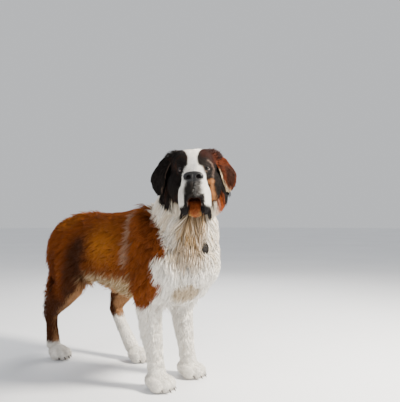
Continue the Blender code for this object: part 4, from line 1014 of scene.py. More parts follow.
@dataclass
class Skin:
    """One closed skin over head, ears, body, paws and tail, which stands for the flesh nodes."""

    nodes: tuple[str, ...] = (
        "torso", "neck", "head", "lower_jaw", "ear_right", "ear_left", "foreleg_right",
        "foreleg_left", "hindleg_right", "hindleg_left", "paw_fore_right", "paw_fore_left",
        "paw_hind_right", "paw_hind_left", "tail")
    body_voxel: float = 0.0065
    body_faces: int = 36000
    paw_voxel: float = 0.0037
    floor: float = 0.0008
    obj: bpy.types.Object | None = None

    def build(self, markings: Markings, finish: "CoatFinish") -> None:
        """Builds the skin, with its markings, its painted shade and its unwrap.

        Args:
            markings: Where the skin takes its colours from.
            finish: The finish it gets.
        """
        body = self.mark(object_of("skin", BUILD.body_form(0.0)), Zone.BODY)
        fuse(body, self.body_voxel, 10)
        count = sum(len(p.vertices) - 2 for p in body.data.polygons)
        apply_modifier(body, "DECIMATE", ratio=self.body_faces / count,
                       use_collapse_triangulate=True)
        self.mark(body, Zone.BODY)
        tail = object_of("tail", BUILD.tail(0.0))
        parts = [self.mark(tail, Zone.TAIL)]
        legs = {**{f"fore_{s.word}": BUILD.fore_limb(s)[2] for s in Side},
                **{f"hind_{s.word}": BUILD.hind_limb(s)[2] for s in Side}}
        for name, at, size in BUILD.paw_places():
            paw = object_of("paw", BUILD.paw(at, size, legs[name]))
            fuse(paw, self.paw_voxel, 3)
            parts.append(self.mark(paw, Zone.PAW))
        shape = Head()
        head = self.mark(shape.skin(), Zone.HEAD)
        join(head, [self.mark(shape.ear(side), Zone.EAR) for side in Side])
        join(body, [*parts, head])
        at = points_of(body)
        at[:, 2] = np.maximum(at[:, 2], self.floor)
        set_points(body, at)
        self.obj = body
        self.paint(markings)
        self.unwrap()
        smooth_shade(body)
        dress(body, finish.build("short_fur_on_skin", skin=True))

    @staticmethod
    def mark(obj: bpy.types.Object, zone: Zone) -> bpy.types.Object:
        """Marks all faces of an object as this zone's, by their material's number."""
        obj.data.materials.clear()
        for kind in Zone:
            name = "zone_" + kind.name.lower()
            obj.data.materials.append(bpy.data.materials.get(name)
                                      or bpy.data.materials.new(name))
        obj.data.polygons.foreach_set("material_index",
                                      np.full(len(obj.data.polygons), zone.value, np.int32))
        return obj

    def paint(self, markings: Markings) -> None:
        """Keeps each face's zone and gives each point its colour."""
        data = self.obj.data
        data.calc_loop_triangles()
        self.zones = np.empty(len(data.polygons), np.int32)
        data.polygons.foreach_get("material_index", self.zones)
        data.polygons.foreach_set("material_index", np.zeros(len(data.polygons), np.int32))
        at = points_of(self.obj)
        zone = np.zeros(len(at), int)
        for face in data.polygons:
            zone[list(face.vertices)] = self.zones[face.index]
        local = HEAD.to_head(at)
        draw = np.random.default_rng(SEED)
        col = markings.body(at)
        in_head, in_ear = zone == Zone.HEAD.value, zone == Zone.EAR.value
        col[in_head] = markings.head(local[in_head], draw.random(in_head.sum()))
        out = normals_of(self.obj)
        inner = inner_side(local[in_ear], out[in_ear])
        col[in_ear] = markings.ear(local[in_ear], inner)
        layer = data.color_attributes.new(COAT_COLOUR, "FLOAT_COLOR", "POINT")
        layer.data.foreach_set("color", np.hstack([col, np.ones((len(col), 1))]).ravel())

    def unwrap(self) -> None:
        """Unwraps the skin over its own shape."""
        select_only(self.obj)
        self.obj.data.uv_layers.new(name=BAKE_MAP)
        bpy.ops.object.mode_set(mode="EDIT")
        bpy.ops.mesh.select_all(action="SELECT")
        bpy.ops.uv.smart_project(angle_limit=math.radians(66), island_margin=0.002)
        bpy.ops.object.mode_set(mode="OBJECT")

    def finish(self) -> None:
        """Moves the skin onto the frame and sets it in place of the flesh nodes."""
        settle(self.obj)
        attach(self.obj, BODY)
        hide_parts(*self.nodes)


def inner_side(local: np.ndarray, out: np.ndarray) -> np.ndarray:
    """How far each place of an ear faces the head.

    Args:
        local: Places in head space.
        out: Ways out of the skin there, in the dog's measures.

    Returns:
        From 0 outside to 1 on the side towards the head.
    """
    turn = np.array(HEAD.matrix().to_3x3().inverted())
    across = unit(out @ turn.T)[:, 0] * np.sign(local[:, 0])
    return smooth_step(-0.2, -0.6, across)


@dataclass(frozen=True)
class CoatFinish:
    """Finish of hair: its colour comes from the markings, with fine streaks and a low sheen."""

    roughness: float = 0.66
    specular: float = 0.06
    sheen: float = 0.01
    streaks: float = 900.0
    bump: float = 0.35

    def group(self) -> bpy.types.ShaderNodeTree:
        """The shared streak pattern: it varies a colour and puts out a height."""
        old = bpy.data.node_groups.get("hair_streaks")
        if old:
            return old
        tree = bpy.data.node_groups.new("hair_streaks", "ShaderNodeTree")
        face = tree.interface
        face.new_socket("Colour", in_out="INPUT", socket_type="NodeSocketColor")
        face.new_socket("Scale", in_out="INPUT", socket_type="NodeSocketFloat")
        face.new_socket("Variation", in_out="INPUT", socket_type="NodeSocketFloat")
        face.new_socket("Colour", in_out="OUTPUT", socket_type="NodeSocketColor")
        face.new_socket("Height", in_out="OUTPUT", socket_type="NodeSocketFloat")
        nodes, links = tree.nodes, tree.links
        start, end = nodes.new("NodeGroupInput"), nodes.new("NodeGroupOutput")
        coord = nodes.new("ShaderNodeTexCoord")
        fine, broad = nodes.new("ShaderNodeTexNoise"), nodes.new("ShaderNodeTexNoise")
        fine.inputs["Detail"].default_value = 3
        broad.inputs["Scale"].default_value = 24
        broad.inputs["Detail"].default_value = 3
        stretch = nodes.new("ShaderNodeMapping")
        stretch.inputs["Scale"].default_value = (1.0, 0.35, 0.30)
        links.new(coord.outputs["Object"], stretch.inputs["Vector"])
        links.new(stretch.outputs["Vector"], fine.inputs["Vector"])
        links.new(coord.outputs["Object"], broad.inputs["Vector"])
        links.new(start.outputs["Scale"], fine.inputs["Scale"])
        both = nodes.new("ShaderNodeMath")
        both.operation = "ADD"
        links.new(fine.outputs["Fac"], both.inputs[0])
        links.new(broad.outputs["Fac"], both.inputs[1])
        spread = nodes.new("ShaderNodeMapRange")
        spread.inputs["From Min"].default_value = 0.6
        spread.inputs["From Max"].default_value = 1.4
        spread.inputs["To Min"].default_value = 0.62
        spread.inputs["To Max"].default_value = 1.30
        links.new(both.outputs[0], spread.inputs["Value"])
        mix = nodes.new("ShaderNodeMix")
        mix.data_type = "RGBA"
        mix.blend_type = "MULTIPLY"
        links.new(start.outputs["Variation"], mix.inputs["Factor"])
        links.new(start.outputs["Colour"], mix.inputs["A"])
        links.new(spread.outputs["Result"], mix.inputs["B"])
        links.new(mix.outputs["Result"], end.inputs["Colour"])
        links.new(fine.outputs["Fac"], end.inputs["Height"])
        return tree

    def build(self, name: str, skin: bool = False) -> bpy.types.Material:
        """The material.

        Args:
            name: Its name.
            skin: Whether it is for the skin, where short fur is in the bump.

        Returns:
            The material.
        """
        made = bpy.data.materials.new(name)
        made.use_nodes = True
        nodes, links = made.node_tree.nodes, made.node_tree.links
        shader = nodes["Principled BSDF"]
        shader.inputs["Roughness"].default_value = self.roughness
        shader.inputs["Specular IOR Level"].default_value = self.specular
        shader.inputs["Sheen Weight"].default_value = self.sheen
        shader.inputs["Sheen Roughness"].default_value = 0.5
        colour = nodes.new("ShaderNodeAttribute")
        colour.attribute_name = COAT_COLOUR
        streaks = nodes.new("ShaderNodeGroup")
        streaks.node_tree = self.group()
        streaks.inputs["Scale"].default_value = self.streaks * (0.7 if skin else 1.0)
        streaks.inputs["Variation"].default_value = 0.85 if skin else 0.6
        links.new(colour.outputs["Color"], streaks.inputs["Colour"])
        links.new(streaks.outputs["Colour"], shader.inputs["Base Color"])
        bump = nodes.new("ShaderNodeBump")
        bump.inputs["Strength"].default_value = self.bump * (2.0 if skin else 1.0)
        bump.inputs["Distance"].default_value = 0.0012 if skin else 0.0005
        links.new(streaks.outputs["Height"], bump.inputs["Height"])
        links.new(bump.outputs["Normal"], shader.inputs["Normal"])
        return made


class Lie:
    """The way the coat lies at each place."""

    reach: float = 0.09
    guides: tuple[tuple[Triple, Triple], ...] = (
        ((0.00, -0.20, 0.78), (0.10, 0.90, -0.30)),
        ((0.00, 0.10, 0.75), (0.12, 1.00, -0.05)),
        ((0.00, 0.40, 0.72), (0.15, 1.00, -0.25)),
        ((0.15, -0.10, 0.60), (0.05, 0.85, -0.55)),
        ((0.16, 0.05, 0.55), (0.05, 0.90, -0.45)),
        ((0.16, 0.20, 0.56), (0.05, 0.90, -0.45)),
        ((0.14, -0.05, 0.42), (0.00, 0.75, -0.70)),
        ((0.12, 0.10, 0.40), (-0.05, 0.75, -0.75)),
        ((0.00, 0.00, 0.36), (0.00, 0.90, -0.40)),
        ((0.00, 0.20, 0.42), (0.00, 0.80, -0.55)),
        ((0.12, -0.32, 0.55), (0.15, 0.35, -0.90)),
        ((0.14, -0.22, 0.66), (0.15, 0.70, -0.65)),
        ((0.10, -0.30, 0.78), (0.25, 0.60, -0.75)),
        ((0.00, -0.26, 0.86), (0.00, 0.80, -0.60)),
        ((0.10, -0.42, 0.74), (0.25, 0.10, -0.95)),
        ((0.03, -0.50, 0.72), (0.10, -0.10, -1.00)),
        ((0.03, -0.48, 0.60), (0.05, -0.10, -1.00)),
        ((0.10, -0.42, 0.58), (0.10, 0.10, -1.00)),
        ((0.03, -0.45, 0.47), (0.00, 0.10, -1.00)),
        ((0.05, -0.36, 0.38), (0.00, 0.20, -1.00)),
        ((0.14, 0.36, 0.62), (0.10, 0.85, -0.55)),
        ((0.15, 0.30, 0.48), (0.05, 0.60, -0.80)),
        ((0.12, 0.46, 0.55), (0.05, 0.55, -0.90)),
        ((0.10, 0.44, 0.40), (0.00, 0.45, -0.95)),
        ((0.12, 0.40, 0.28), (0.00, 0.40, -0.95)),
        ((0.12, -0.24, 0.36), (0.00, 0.55, -0.85)),
        ((0.11, -0.22, 0.25), (0.00, 0.50, -0.90)),
        ((0.00, 0.54, 0.55), (0.00, 0.15, -1.00)),
        ((0.00, 0.56, 0.30), (0.00, 0.20, -1.00)),
    )
    head_reach: float = 0.035
    head_guides: tuple[tuple[Triple, Triple], ...] = (
        ((0.000, -0.090, -0.018), (0.00, 1.00, 0.25)),
        ((0.000, -0.040, -0.012), (0.00, 0.85, 0.55)),
        ((0.000, 0.000, 0.045), (0.00, 0.55, 0.85)),
        ((0.000, 0.070, 0.085), (0.00, 1.00, 0.05)),
        ((0.045, 0.030, 0.066), (0.45, 0.85, 0.10)),
        ((0.050, 0.000, 0.030), (0.60, 0.45, 0.50)),
        ((0.036, -0.060, -0.040), (0.50, 0.75, -0.45)),
        ((0.040, -0.085, -0.070), (0.30, 0.45, -0.90)),
        ((0.046, -0.060, -0.110), (0.10, 0.25, -1.00)),
        ((0.040, -0.080, -0.150), (0.00, 0.10, -1.00)),
        ((0.000, -0.120, -0.075), (0.30, 0.10, -1.00)),
        ((0.050, -0.010, -0.040), (0.30, 0.85, -0.55)),
        ((0.070, 0.030, -0.030), (0.25, 0.90, -0.50)),
        ((0.085, 0.060, -0.070), (0.25, 0.25, -1.00)),
        ((0.080, 0.090, -0.110), (0.30, 0.05, -1.00)),
        ((0.060, 0.030, -0.110), (0.10, 0.60, -0.85)),
        ((0.000, 0.130, 0.050), (0.00, 0.80, -0.60)),
        ((0.060, 0.140, 0.000), (0.30, 0.70, -0.75)),
        ((0.000, -0.070, -0.160), (0.00, 0.50, -0.90)),
        ((0.000, 0.010, -0.165), (0.00, 0.60, -0.85)),
    )

    @staticmethod
    def guided(at: np.ndarray, guides: tuple[tuple[Triple, Triple], ...],
               reach: float) -> np.ndarray:
        """The ways of guides on the left, weighed by how near each lies, on both sides.

        Args:
            at: Places, one a row.
            guides: Place and way of each guide.
            reach: How far each has its say.

        Returns:
            A way of length 1 for each place.
        """
        side = np.where(at[:, 0] >= 0, 1.0, -1.0)
        even = at * np.stack([side, np.ones(len(at)), np.ones(len(at))], axis=1)
        way = np.zeros_like(at)
        total = np.zeros(len(at))
        for place, lean in guides:
            apart = np.linalg.norm(even - np.array(place), axis=1)
            weight = np.exp(-0.5 * np.minimum(apart / reach, 8) ** 2)
            way += weight[:, None] * np.array(lean) / np.linalg.norm(lean)
            total += weight
        way[:, 0] *= side
        return unit(way)

    def body(self, at: np.ndarray) -> np.ndarray:
        """The lie on trunk, neck, legs and tail."""
        way = self.guided(at, self.guides, self.reach)
        drop = smooth_step(0.36, 0.26, at[:, 2])[:, None]
        way = way * (1 - drop) + np.array((0.0, 0.22, -1.0)) * drop
        toes = smooth_step(0.075, 0.045, at[:, 2])[:, None]
        return unit(way * (1 - toes) + np.array((0.0, -0.80, -0.60)) * toes)

    def head(self, at: np.ndarray) -> np.ndarray:
        """The lie on the head, for places in the dog's measures."""
        return HEAD.turned(self.guided(HEAD.to_head(at), self.head_guides, self.head_reach))

    def ear(self, at: np.ndarray) -> np.ndarray:
        """The lie on the ears: out from their roots, then down along the flap."""
        local = HEAD.to_head(at)
        side = np.sign(local[:, 0])
        down = smooth_step(0.085, 0.118, np.abs(local[:, 0]))
        way = np.stack([side * (1 - 0.9 * down), 0.25 + 0.10 * down, 0.25 - 1.25 * down], axis=1)
        return HEAD.turned(way)


@dataclass
class Roots:
    """Where tufts grow: places, ways out of the skin, unwrap places and random numbers."""

    at: np.ndarray
    out: np.ndarray
    uv: np.ndarray
    draw: np.ndarray


@dataclass
class Coat:
    """The coat as tufts of solid mesh that follow the lie, with the skin's markings and painted shade at
    their roots.
    """

    skin: Skin
    markings: Markings
    lie: Lie
    finish: CoatFinish
    sink: float = 0.0022
    most_faces: int = 180000
    patch: float = 0.0015
    floor: float = 0.0006
    root_tint: Triple = (1.0, 0.88, 0.72)
    tips_voxel: float = 0.010

    def __post_init__(self) -> None:
        """Reads the skin's triangles once for all zones."""
        data = self.skin.obj.data
        data.calc_loop_triangles()
        count = len(data.loop_triangles)
        corner, loops = np.empty(count * 3, np.int32), np.empty(count * 3, np.int32)
        face = np.empty(count, np.int32)
        data.loop_triangles.foreach_get("vertices", corner)
        data.loop_triangles.foreach_get("loops", loops)
        data.loop_triangles.foreach_get("polygon_index", face)
        self.points = points_of(self.skin.obj)
        self.normals = normals_of(self.skin.obj)
        self.corners = corner.reshape(-1, 3)
        uv = np.empty(len(data.loops) * 2)
        data.uv_layers[BAKE_MAP].data.foreach_get("uv", uv)
        self.uv = uv.reshape(-1, 2)[loops.reshape(-1, 3)]
        self.zone = self.skin.zones[face]
        a, b, c = (self.points[self.corners[:, k]] for k in range(3))
        self.area = np.linalg.norm(np.cross(b - a, c - a), axis=1) / 2
        self.middle = (a + b + c) / 3
        self.tree = tree_of(self.skin.obj)
        tips = object_of("tips", BUILD.body_form(1.0))
        fuse(tips, self.tips_voxel, 6)
        tail = object_of("tail_tips", BUILD.tail(1.0))
        self.tips = tree_of(tips)
        self.tail_tips = tree_of(tail)
        for made in (tips, tail):
            bpy.data.objects.remove(made)

    def scatter(self, weight: np.ndarray, count: int, seed: int) -> Roots:
        """Spreads roots over the skin.

        Args:
            weight: How thickly each triangle is set, times its area.
            count: How many roots.
            seed: Which draw it is.

        Returns:
            The roots.
        """
        draw = np.random.default_rng(SEED + seed)
        total = np.cumsum(weight)
        ticks = (np.arange(count) + draw.random(count)) / count * total[-1]
        tri = np.minimum(np.searchsorted(total, ticks), len(weight) - 1)
        a, b = np.sort(draw.random((2, count)), axis=0)
        share = np.stack([a, b - a, 1 - b], axis=1)[:, :, None]
        corners = self.corners[tri]
        return Roots((self.points[corners] * share).sum(axis=1),
                     unit((self.normals[corners] * share).sum(axis=1)),
                     (self.uv[tri] * share).sum(axis=1), draw.random((count, 6)))

    def depth(self, roots: Roots, tree: BVHTree, most: float = 0.075) -> np.ndarray:
        """How far the coat's tips stand over the skin at each root.

        Args:
            roots: The roots.
            tree: Search tree of the tips.
            most: The most that it may be.

        Returns:
            The depth at each.
        """
        out = np.empty(len(roots.at))
        for i, (at, way) in enumerate(zip(roots.at, roots.out)):
            hit = tree.ray_cast(Vector(at), Vector(way), most)
            out[i] = hit[3] if hit[3] is not None else 0.008
        return out

    def march(self, roots: Roots, lie: Callable[[np.ndarray], np.ndarray], length: np.ndarray,
              rise: np.ndarray, steps: int, swing: np.ndarray, cling: float,
              clump: tuple[np.ndarray, np.ndarray] | None = None,
              pull: float = 0.0) -> tuple[np.ndarray, np.ndarray]:
        """Lays each tuft's line over the skin along the lie.

        Args:
            roots: Where the tufts grow.
            lie: The way the coat lies at a place.
            length: Each tuft's length.
            rise: How high each tuft's tip stands over the skin.
            steps: Stations on each line, its root and tip included.
            swing: How far each turns aside.
            cling: From 0, hanging free, to 1, close to the skin.
            clump: For each tuft the line of the lock that it belongs to, and that lock's root.
            pull: How strongly the tips are drawn to their lock.

        Returns:
            The stations' places and the ways out of the coat there, each steps x tufts x 3.
        """
        at = roots.at - roots.out * self.sink
        out = roots.out.copy()
        way = lie(roots.at)
        way = unit(way - out * (way * out).sum(axis=1, keepdims=True) * 0.9)
        places, outs = [at], [out]
        step = (length / (steps - 1))[:, None]
        for k in range(1, steps):
            t = k / (steps - 1)
            lean = lie(at)
            lean = lean - out * (lean * out).sum(axis=1, keepdims=True) * cling
            way = unit(way * 0.8 + lean + np.cross(out, way) * swing[:, None])
            at = at + way * step
            if clump is not None:
                line, home = clump
                aim = line[k] + (roots.at - home) * (1 - 0.8 * t)
                at = at * (1 - pull * t) + aim * pull * t
            wanted = rise * min(1.0, t * 1.25) ** 0.8
            normal = np.empty_like(at)
            height = np.empty(len(at))
            near = np.empty_like(at)
            for i in range(len(at)):
                spot, way_out, _, _ = self.tree.find_nearest(Vector(at[i]))
                near[i], normal[i] = spot, way_out
            height = ((at - near) * normal).sum(axis=1)
            low = height < wanted
            at[low] = near[low] + normal[low] * wanted[low, None]
            high = height > wanted * 1.3 + 0.002
            at[high] -= normal[high] * ((height - wanted * 1.3 - 0.002) * cling * 0.7)[high, None]
            out = unit(out * 0.5 + normal)
            places.append(at.copy())
            outs.append(out)
        return np.array(places), np.array(outs)

    def blades(self, name: str, roots: Roots, places: np.ndarray, outs: np.ndarray,
               wide: np.ndarray, colour: np.ndarray, thick: float, lift: Triple,
               material: bpy.types.Material) -> list[bpy.types.Object]:
        """Makes the tufts' meshes, split into pieces of a size that keeps every face.

        Args:
            name: The pieces' name.
            roots: Where the tufts grow.
            places: Their stations.
            outs: The ways out of the coat there.
            wide: Each tuft's width.
            colour: Each tuft's colour.
            thick: A tuft's thickness as a share of its width.
            lift: How the colour changes from root over middle to tip: darker at the root as painted shade
                deep in the coat, lighter at the tip.
            material: Their finish.

        Returns:
            The pieces.
        """
        steps, count, _ = places.shape
        profile = np.interp(np.linspace(0, 1, steps), (0, 0.3, 0.7, 1), (0.62, 1.0, 0.75, 0.0))
        loops = []
        for k in range(steps - 1):
            way = unit(places[min(k + 1, steps - 1)] - places[max(k - 1, 0)])
            side = unit(np.cross(way, outs[k]))
            out = np.cross(side, way)
            half = (wide * profile[k] / 2)[:, None]
            low = places[k] - out * half * thick * 0.5
            loops += [low + side * half, places[k] + out * half * thick, low - side * half]
        loops.append(places[-1])
        verts = np.stack(loops, axis=1)
        verts[:, :, 2] = np.maximum(verts[:, :, 2], self.floor)
        tri = [(0, 2, 1)]
        for k in range(steps - 2):
            for j in range(3):
                a, b = 3 * k + j, 3 * k + (j + 1) % 3
                tri += [(a, b, b + 3), (a, b + 3, a + 3)]
        end = 3 * (steps - 2)
        tri += [(end + j, end + (j + 1) % 3, 3 * (steps - 1)) for j in range(3)]
        tri = np.array(tri)
        along = np.repeat(np.linspace(0, 1, steps), 3)[:3 * (steps - 1) + 1]
        across = np.tile((-1.0, 0.0, 1.0), steps)[:3 * (steps - 1) + 1]
        along[-1], across[-1] = 1.0, 0.0
        # Painted shade: each tuft darker and warmer towards its root, lighter towards its tip.
        shade = np.stack([np.interp(along, (0, 0.5, 1), (lift[0] * tint, lift[1], lift[2]))
                          for tint in self.root_tint], axis=1)
        cols = colour[:, None, :] * shade[None]
        uvs = roots.uv[:, None, :] + self.patch * np.stack([across, 2 * along - 1], axis=1)[None]
        pieces = []
        parts = max(1, math.ceil(count * len(tri) / self.most_faces))
        for n, chosen in enumerate(np.array_split(np.arange(count), parts)):
            label = f"{name}_{n + 1}" if parts > 1 else name
            pieces.append(self.piece(label, verts[chosen], tri, cols[chosen], uvs[chosen],
                                     material))
        return pieces

    @staticmethod
    def piece(name: str, verts: np.ndarray, tri: np.ndarray, cols: np.ndarray, uvs: np.ndarray,
              material: bpy.types.Material) -> bpy.types.Object:
        """One piece of the coat.

        Args:
            name: Its name.
            verts: Points, tufts x points x 3.
            tri: The triangles of one tuft.
            cols: Colours, as the points.
            uvs: Unwrap places, as the points.
            material: Its finish.

        Returns:
            The object.
        """
        count, per, _ = verts.shape
        faces = (tri[None] + (np.arange(count) * per)[:, None, None]).reshape(-1, 3)
        data = bpy.data.meshes.new(name)
        data.vertices.add(count * per)
        data.vertices.foreach_set("co", (verts + np.array(SHIFT)).astype(np.float32).ravel())
        data.loops.add(len(faces) * 3)
        data.loops.foreach_set("vertex_index", faces.astype(np.int32).ravel())
        data.polygons.add(len(faces))
        data.polygons.foreach_set("loop_start", np.arange(0, len(faces) * 3, 3, dtype=np.int32))
        data.update(calc_edges=True)
        data.polygons.foreach_set("use_smooth", np.ones(len(faces), bool))
        layer = data.color_attributes.new(COAT_COLOUR, "FLOAT_COLOR", "POINT")
        flat = cols.reshape(-1, 3)
        layer.data.foreach_set("color", np.hstack([flat, np.ones((len(flat), 1))]).ravel())
        uv = data.uv_layers.new(name=BAKE_MAP)
        uv.data.foreach_set("uv", uvs.reshape(-1, 2)[faces.ravel()].ravel())
        data.materials.append(material)
        made = bpy.data.objects.new(name, data)
        bpy.context.scene.collection.objects.link(made)
        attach(made, BODY)
        LOG.info("%s: %d tufts, %d faces", name, count, len(faces))
        return made

    def locks(self, weight: np.ndarray, count: int, seed: int,
              lie: Callable[[np.ndarray], np.ndarray], length: float, rise: float, steps: int,
              cling: float) -> tuple[np.ndarray, np.ndarray]:
        """Lines that tufts are drawn to, so that they gather in locks."""
        homes = self.scatter(weight, count, seed)
        n = len(homes.at)
        lines, _ = self.march(homes, lie, np.full(n, length), np.full(n, rise), steps,
                              (homes.draw[:, 0] - 0.5) * 0.7, cling)
        return lines, homes.at

    def grow(self, name: str, weight: np.ndarray, count: int, seed: int,
             lie: Callable[[np.ndarray], np.ndarray],
             measure: Callable[[Roots], tuple[np.ndarray, np.ndarray, np.ndarray]],
             paint: Callable[[np.ndarray, Roots], np.ndarray], steps: int, cling: float = 0.9,
             locks: int = 0, pull: float = 0.5, thick: float = 0.55,
             lift: Triple = (0.55, 1.0, 1.15),
             keep: Callable[[np.ndarray], np.ndarray] | None = None, sway: float = 1.0) -> None:
        """Grows one zone's coat.

        Args:
            name: The name of its pieces.
            weight: How thickly each triangle of the skin is set, times its area.
            count: How many tufts.
            seed: Which draw it is.
            lie: The way the coat lies at a place.
            measure: Length, width and rise of the tufts at these roots.
            paint: Their colours, by where they show.
            steps: Stations on each tuft.
            cling: How closely they follow the skin.
            locks: How many locks they gather in, or 0.
            pull: How strongly.
            thick: Their thickness as a share of their width.
            lift: How their colour changes from root to tip, darker at the root as painted shade.
            keep: Which tufts are kept, by their stations.
            sway: How far the tufts turn aside.
        """
        roots = self.scatter(weight, count, seed)
        length, wide, rise = measure(roots)
        swing = sway * ((roots.draw[:, 0] - 0.5) * 0.5 + 0.35 * ripple(roots.at, 0.09, seed))
        clump = None
        if locks:
            lines, homes = self.locks(weight, locks, seed + 50, lie, float(np.median(length)),
                                      float(np.median(rise)), steps, cling)
            order = nearest(roots.at, homes)
            clump = (lines[:, order], homes[order])
        places, outs = self.march(roots, lie, length, rise, steps, swing, cling, clump, pull)
        colour = paint(places[(steps + 1) // 2], roots) * (0.87 + 0.26 * roots.draw[:, 3:4])
        if keep is not None:
            kept = keep(places)
            roots = Roots(roots.at[kept], roots.out[kept], roots.uv[kept], roots.draw[kept])
            places, outs = places[:, kept], outs[:, kept]
            wide, colour = wide[kept], colour[kept]
        self.blades(name, roots, places, outs, wide, colour, thick, lift,
                    self.finish.build(name + "_hair"))


def nearest(at: np.ndarray, homes: np.ndarray) -> np.ndarray:
    """The number of the nearest home for each place."""
    tree = KDTree(len(homes))
    for i, home in enumerate(homes):
        tree.insert(Vector(home), i)
    tree.balance()
    return np.array([tree.find(Vector(p))[1] for p in at])


class Zones:
    """Sets each zone's coat: how thick, long, wide and deep it is."""

    def __init__(self, coat: Coat, tag_at: np.ndarray, tag_way: np.ndarray) -> None:
        """Keeps the coat and where the tag hangs.

        Args:
            coat: What grows the tufts.
            tag_at: Middle of the tag, in the dog's measures.
            tag_way: The way that it faces.
        """
        self.coat = coat
        self.tag_at, self.tag_way = tag_at, tag_way
        m, z = coat.middle, coat.zone
        body = z == Zone.BODY.value
        self.head = z == Zone.HEAD.value
        self.ear = z == Zone.EAR.value
        self.paw = (z == Zone.PAW.value) | (body & (m[:, 2] < 0.07))
        self.tail = z == Zone.TAIL.value
        neck = (m - np.array((0, -0.310, 0.670))) @ np.array((0, -0.74, 0.67)) > -0.02
        front = (m[:, 1] < -0.33) & (m[:, 2] > 0.40)
        self.ruff = body & (neck | front)
        legs = body & ~self.ruff & ~self.paw & (m[:, 2] < 0.40)
        belly = (np.abs(m[:, 0]) < 0.085) & (m[:, 1] > -0.22) & (m[:, 1] < 0.30)
        self.legs = legs & ~(belly & (m[:, 2] > 0.30))
        self.trunk = body & ~self.ruff & ~self.paw & ~self.legs

    def clear_of_tag(self, places: np.ndarray) -> np.ndarray:
        """Which tufts neither cross the tag nor hang in front of it."""
        apart = places - self.tag_at
        ahead = apart @ self.tag_way
        side = np.cross(self.tag_way, (0, 0, 1))
        across = apart @ (side / np.linalg.norm(side))
        up = apart[:, :, 2]
        hit = (ahead > -0.004) & (np.abs(across) < 0.015) & (up < 0.036) & (up > -0.021)
        return ~hit.any(axis=0)

    @staticmethod
    def breeches(at: np.ndarray) -> np.ndarray:
        """How far each place lies on the long hair behind the thighs."""
        return blob(np.abs(at) * (1, 0, 0) + at * (0, 1, 1), (0.125, 0.440, 0.500),
                    (0.080, 0.085, 0.150))

    def body_colour(self, at: np.ndarray, roots: Roots) -> np.ndarray:
        """Colours of tufts on the body, with ragged borders."""
        return self.coat.markings.body(at + (roots.draw[:, 3:6] - 0.5) * 0.012)

    def grow_trunk(self) -> None:
        """The coat of back, flanks and belly."""
        coat = self.coat

        def measure(roots: Roots) -> tuple[np.ndarray, np.ndarray, np.ndarray]:
            """Length, width and rise on the trunk."""
            depth = np.clip(coat.depth(roots, coat.tips), 0.012, 0.05)
            depth = depth + 0.018 * self.breeches(roots.at)
            length = 0.014 + 1.9 * depth
            vary = 0.75 + 0.5 * roots.draw[:, 1]
            under = smooth_step(0.46, 0.40, roots.at[:, 2]) * smooth_step(-0.20, -0.10, roots.at[:, 1])
            length = length * vary * (1 + 0.9 * under)
            top = smooth_step(0.66, 0.70, roots.at[:, 2]) * smooth_step(0.16, 0.26, roots.at[:, 1])
            loose = 1 + (0.5 * under + 1.1 * top) * roots.draw[:, 4] ** 3
            return (length, 0.0034 + 0.03 * depth,
                    depth * (0.55 + 0.50 * roots.draw[:, 2]) * loose)

        for side in Side:
            on = self.trunk & (coat.middle[:, 0] * side.value >= 0)
            coat.grow(f"trunk_coat_{side.word}", coat.area * on, 13000, 1 + int(side.value),
                      coat.lie.body, measure, self.body_colour, 4, cling=0.95, locks=420,
                      pull=0.45)

    def grow_ruff(self) -> None:
        """The long coat of neck and breast."""
        coat = self.coat

        def measure(roots: Roots) -> tuple[np.ndarray, np.ndarray, np.ndarray]:
            """Length, width and rise in the ruff."""
            depth = np.clip(coat.depth(roots, coat.tips), 0.016, 0.055)
            depth *= 1 - 0.5 * (smooth_step(-0.36, -0.26, roots.at[:, 1])
                                * smooth_step(0.66, 0.72, roots.at[:, 2]))
            length = (0.020 + 2.2 * depth) * (0.75 + 0.5 * roots.draw[:, 1])
            return length, 0.0036 + 0.035 * depth, depth * (0.55 + 0.5 * roots.draw[:, 2])

        coat.grow("ruff", coat.area * self.ruff, 12600, 3, coat.lie.body, measure,
                  self.body_colour, 5, cling=0.6, locks=420, pull=0.5, keep=self.clear_of_tag,
                  lift=(0.72, 1.0, 1.10))

    def grow_legs(self) -> None:
        """The coat of the legs, long behind."""
        coat = self.coat

        def measure(roots: Roots) -> tuple[np.ndarray, np.ndarray, np.ndarray]:
            """Length, width and rise on the legs."""
            depth = np.clip(coat.depth(roots, coat.tips), 0.006, 0.05)
            depth = depth + 0.016 * self.breeches(roots.at)
            length = (0.012 + 1.8 * depth) * (0.75 + 0.5 * roots.draw[:, 1])
            flat = 0.45 + 0.55 * smooth_step(0.010, 0.022, depth)
            return (length, 0.0025 + 0.03 * depth,
                    depth * flat * (0.55 + 0.50 * roots.draw[:, 2]))

        m = coat.middle
        for name, on in (("foreleg_coat", self.legs & (m[:, 1] < -0.08)),
                         ("hindleg_coat", self.legs & (m[:, 1] >= -0.08))):
            coat.grow(name, coat.area * on, 9500, 5 + len(name), coat.lie.body, measure,
                      self.body_colour, 4, cling=0.88, locks=420, pull=0.35,
                      lift=(0.80, 1.0, 1.06), sway=0.45)

    def grow_paws(self) -> None:
        """The short fur of the paws."""
        coat = self.coat

        def measure(roots: Roots) -> tuple[np.ndarray, np.ndarray, np.ndarray]:
            """Length, width and rise on the paws."""
            vary = 0.7 + 0.6 * roots.draw[:, 1]
            n = len(vary)
            return 0.013 * vary, np.full(n, 0.0024), np.full(n, 0.0035) * vary

        up = (coat.middle[:, 2] > 0.006) * 1.0
        coat.grow("paw_fur", coat.area * self.paw * up, 7000, 30, coat.lie.body, measure,
                  self.body_colour, 3, cling=0.95, lift=(0.8, 1.0, 1.05))

    def grow_tail(self) -> None:
        """The long coat of the tail."""
        coat = self.coat

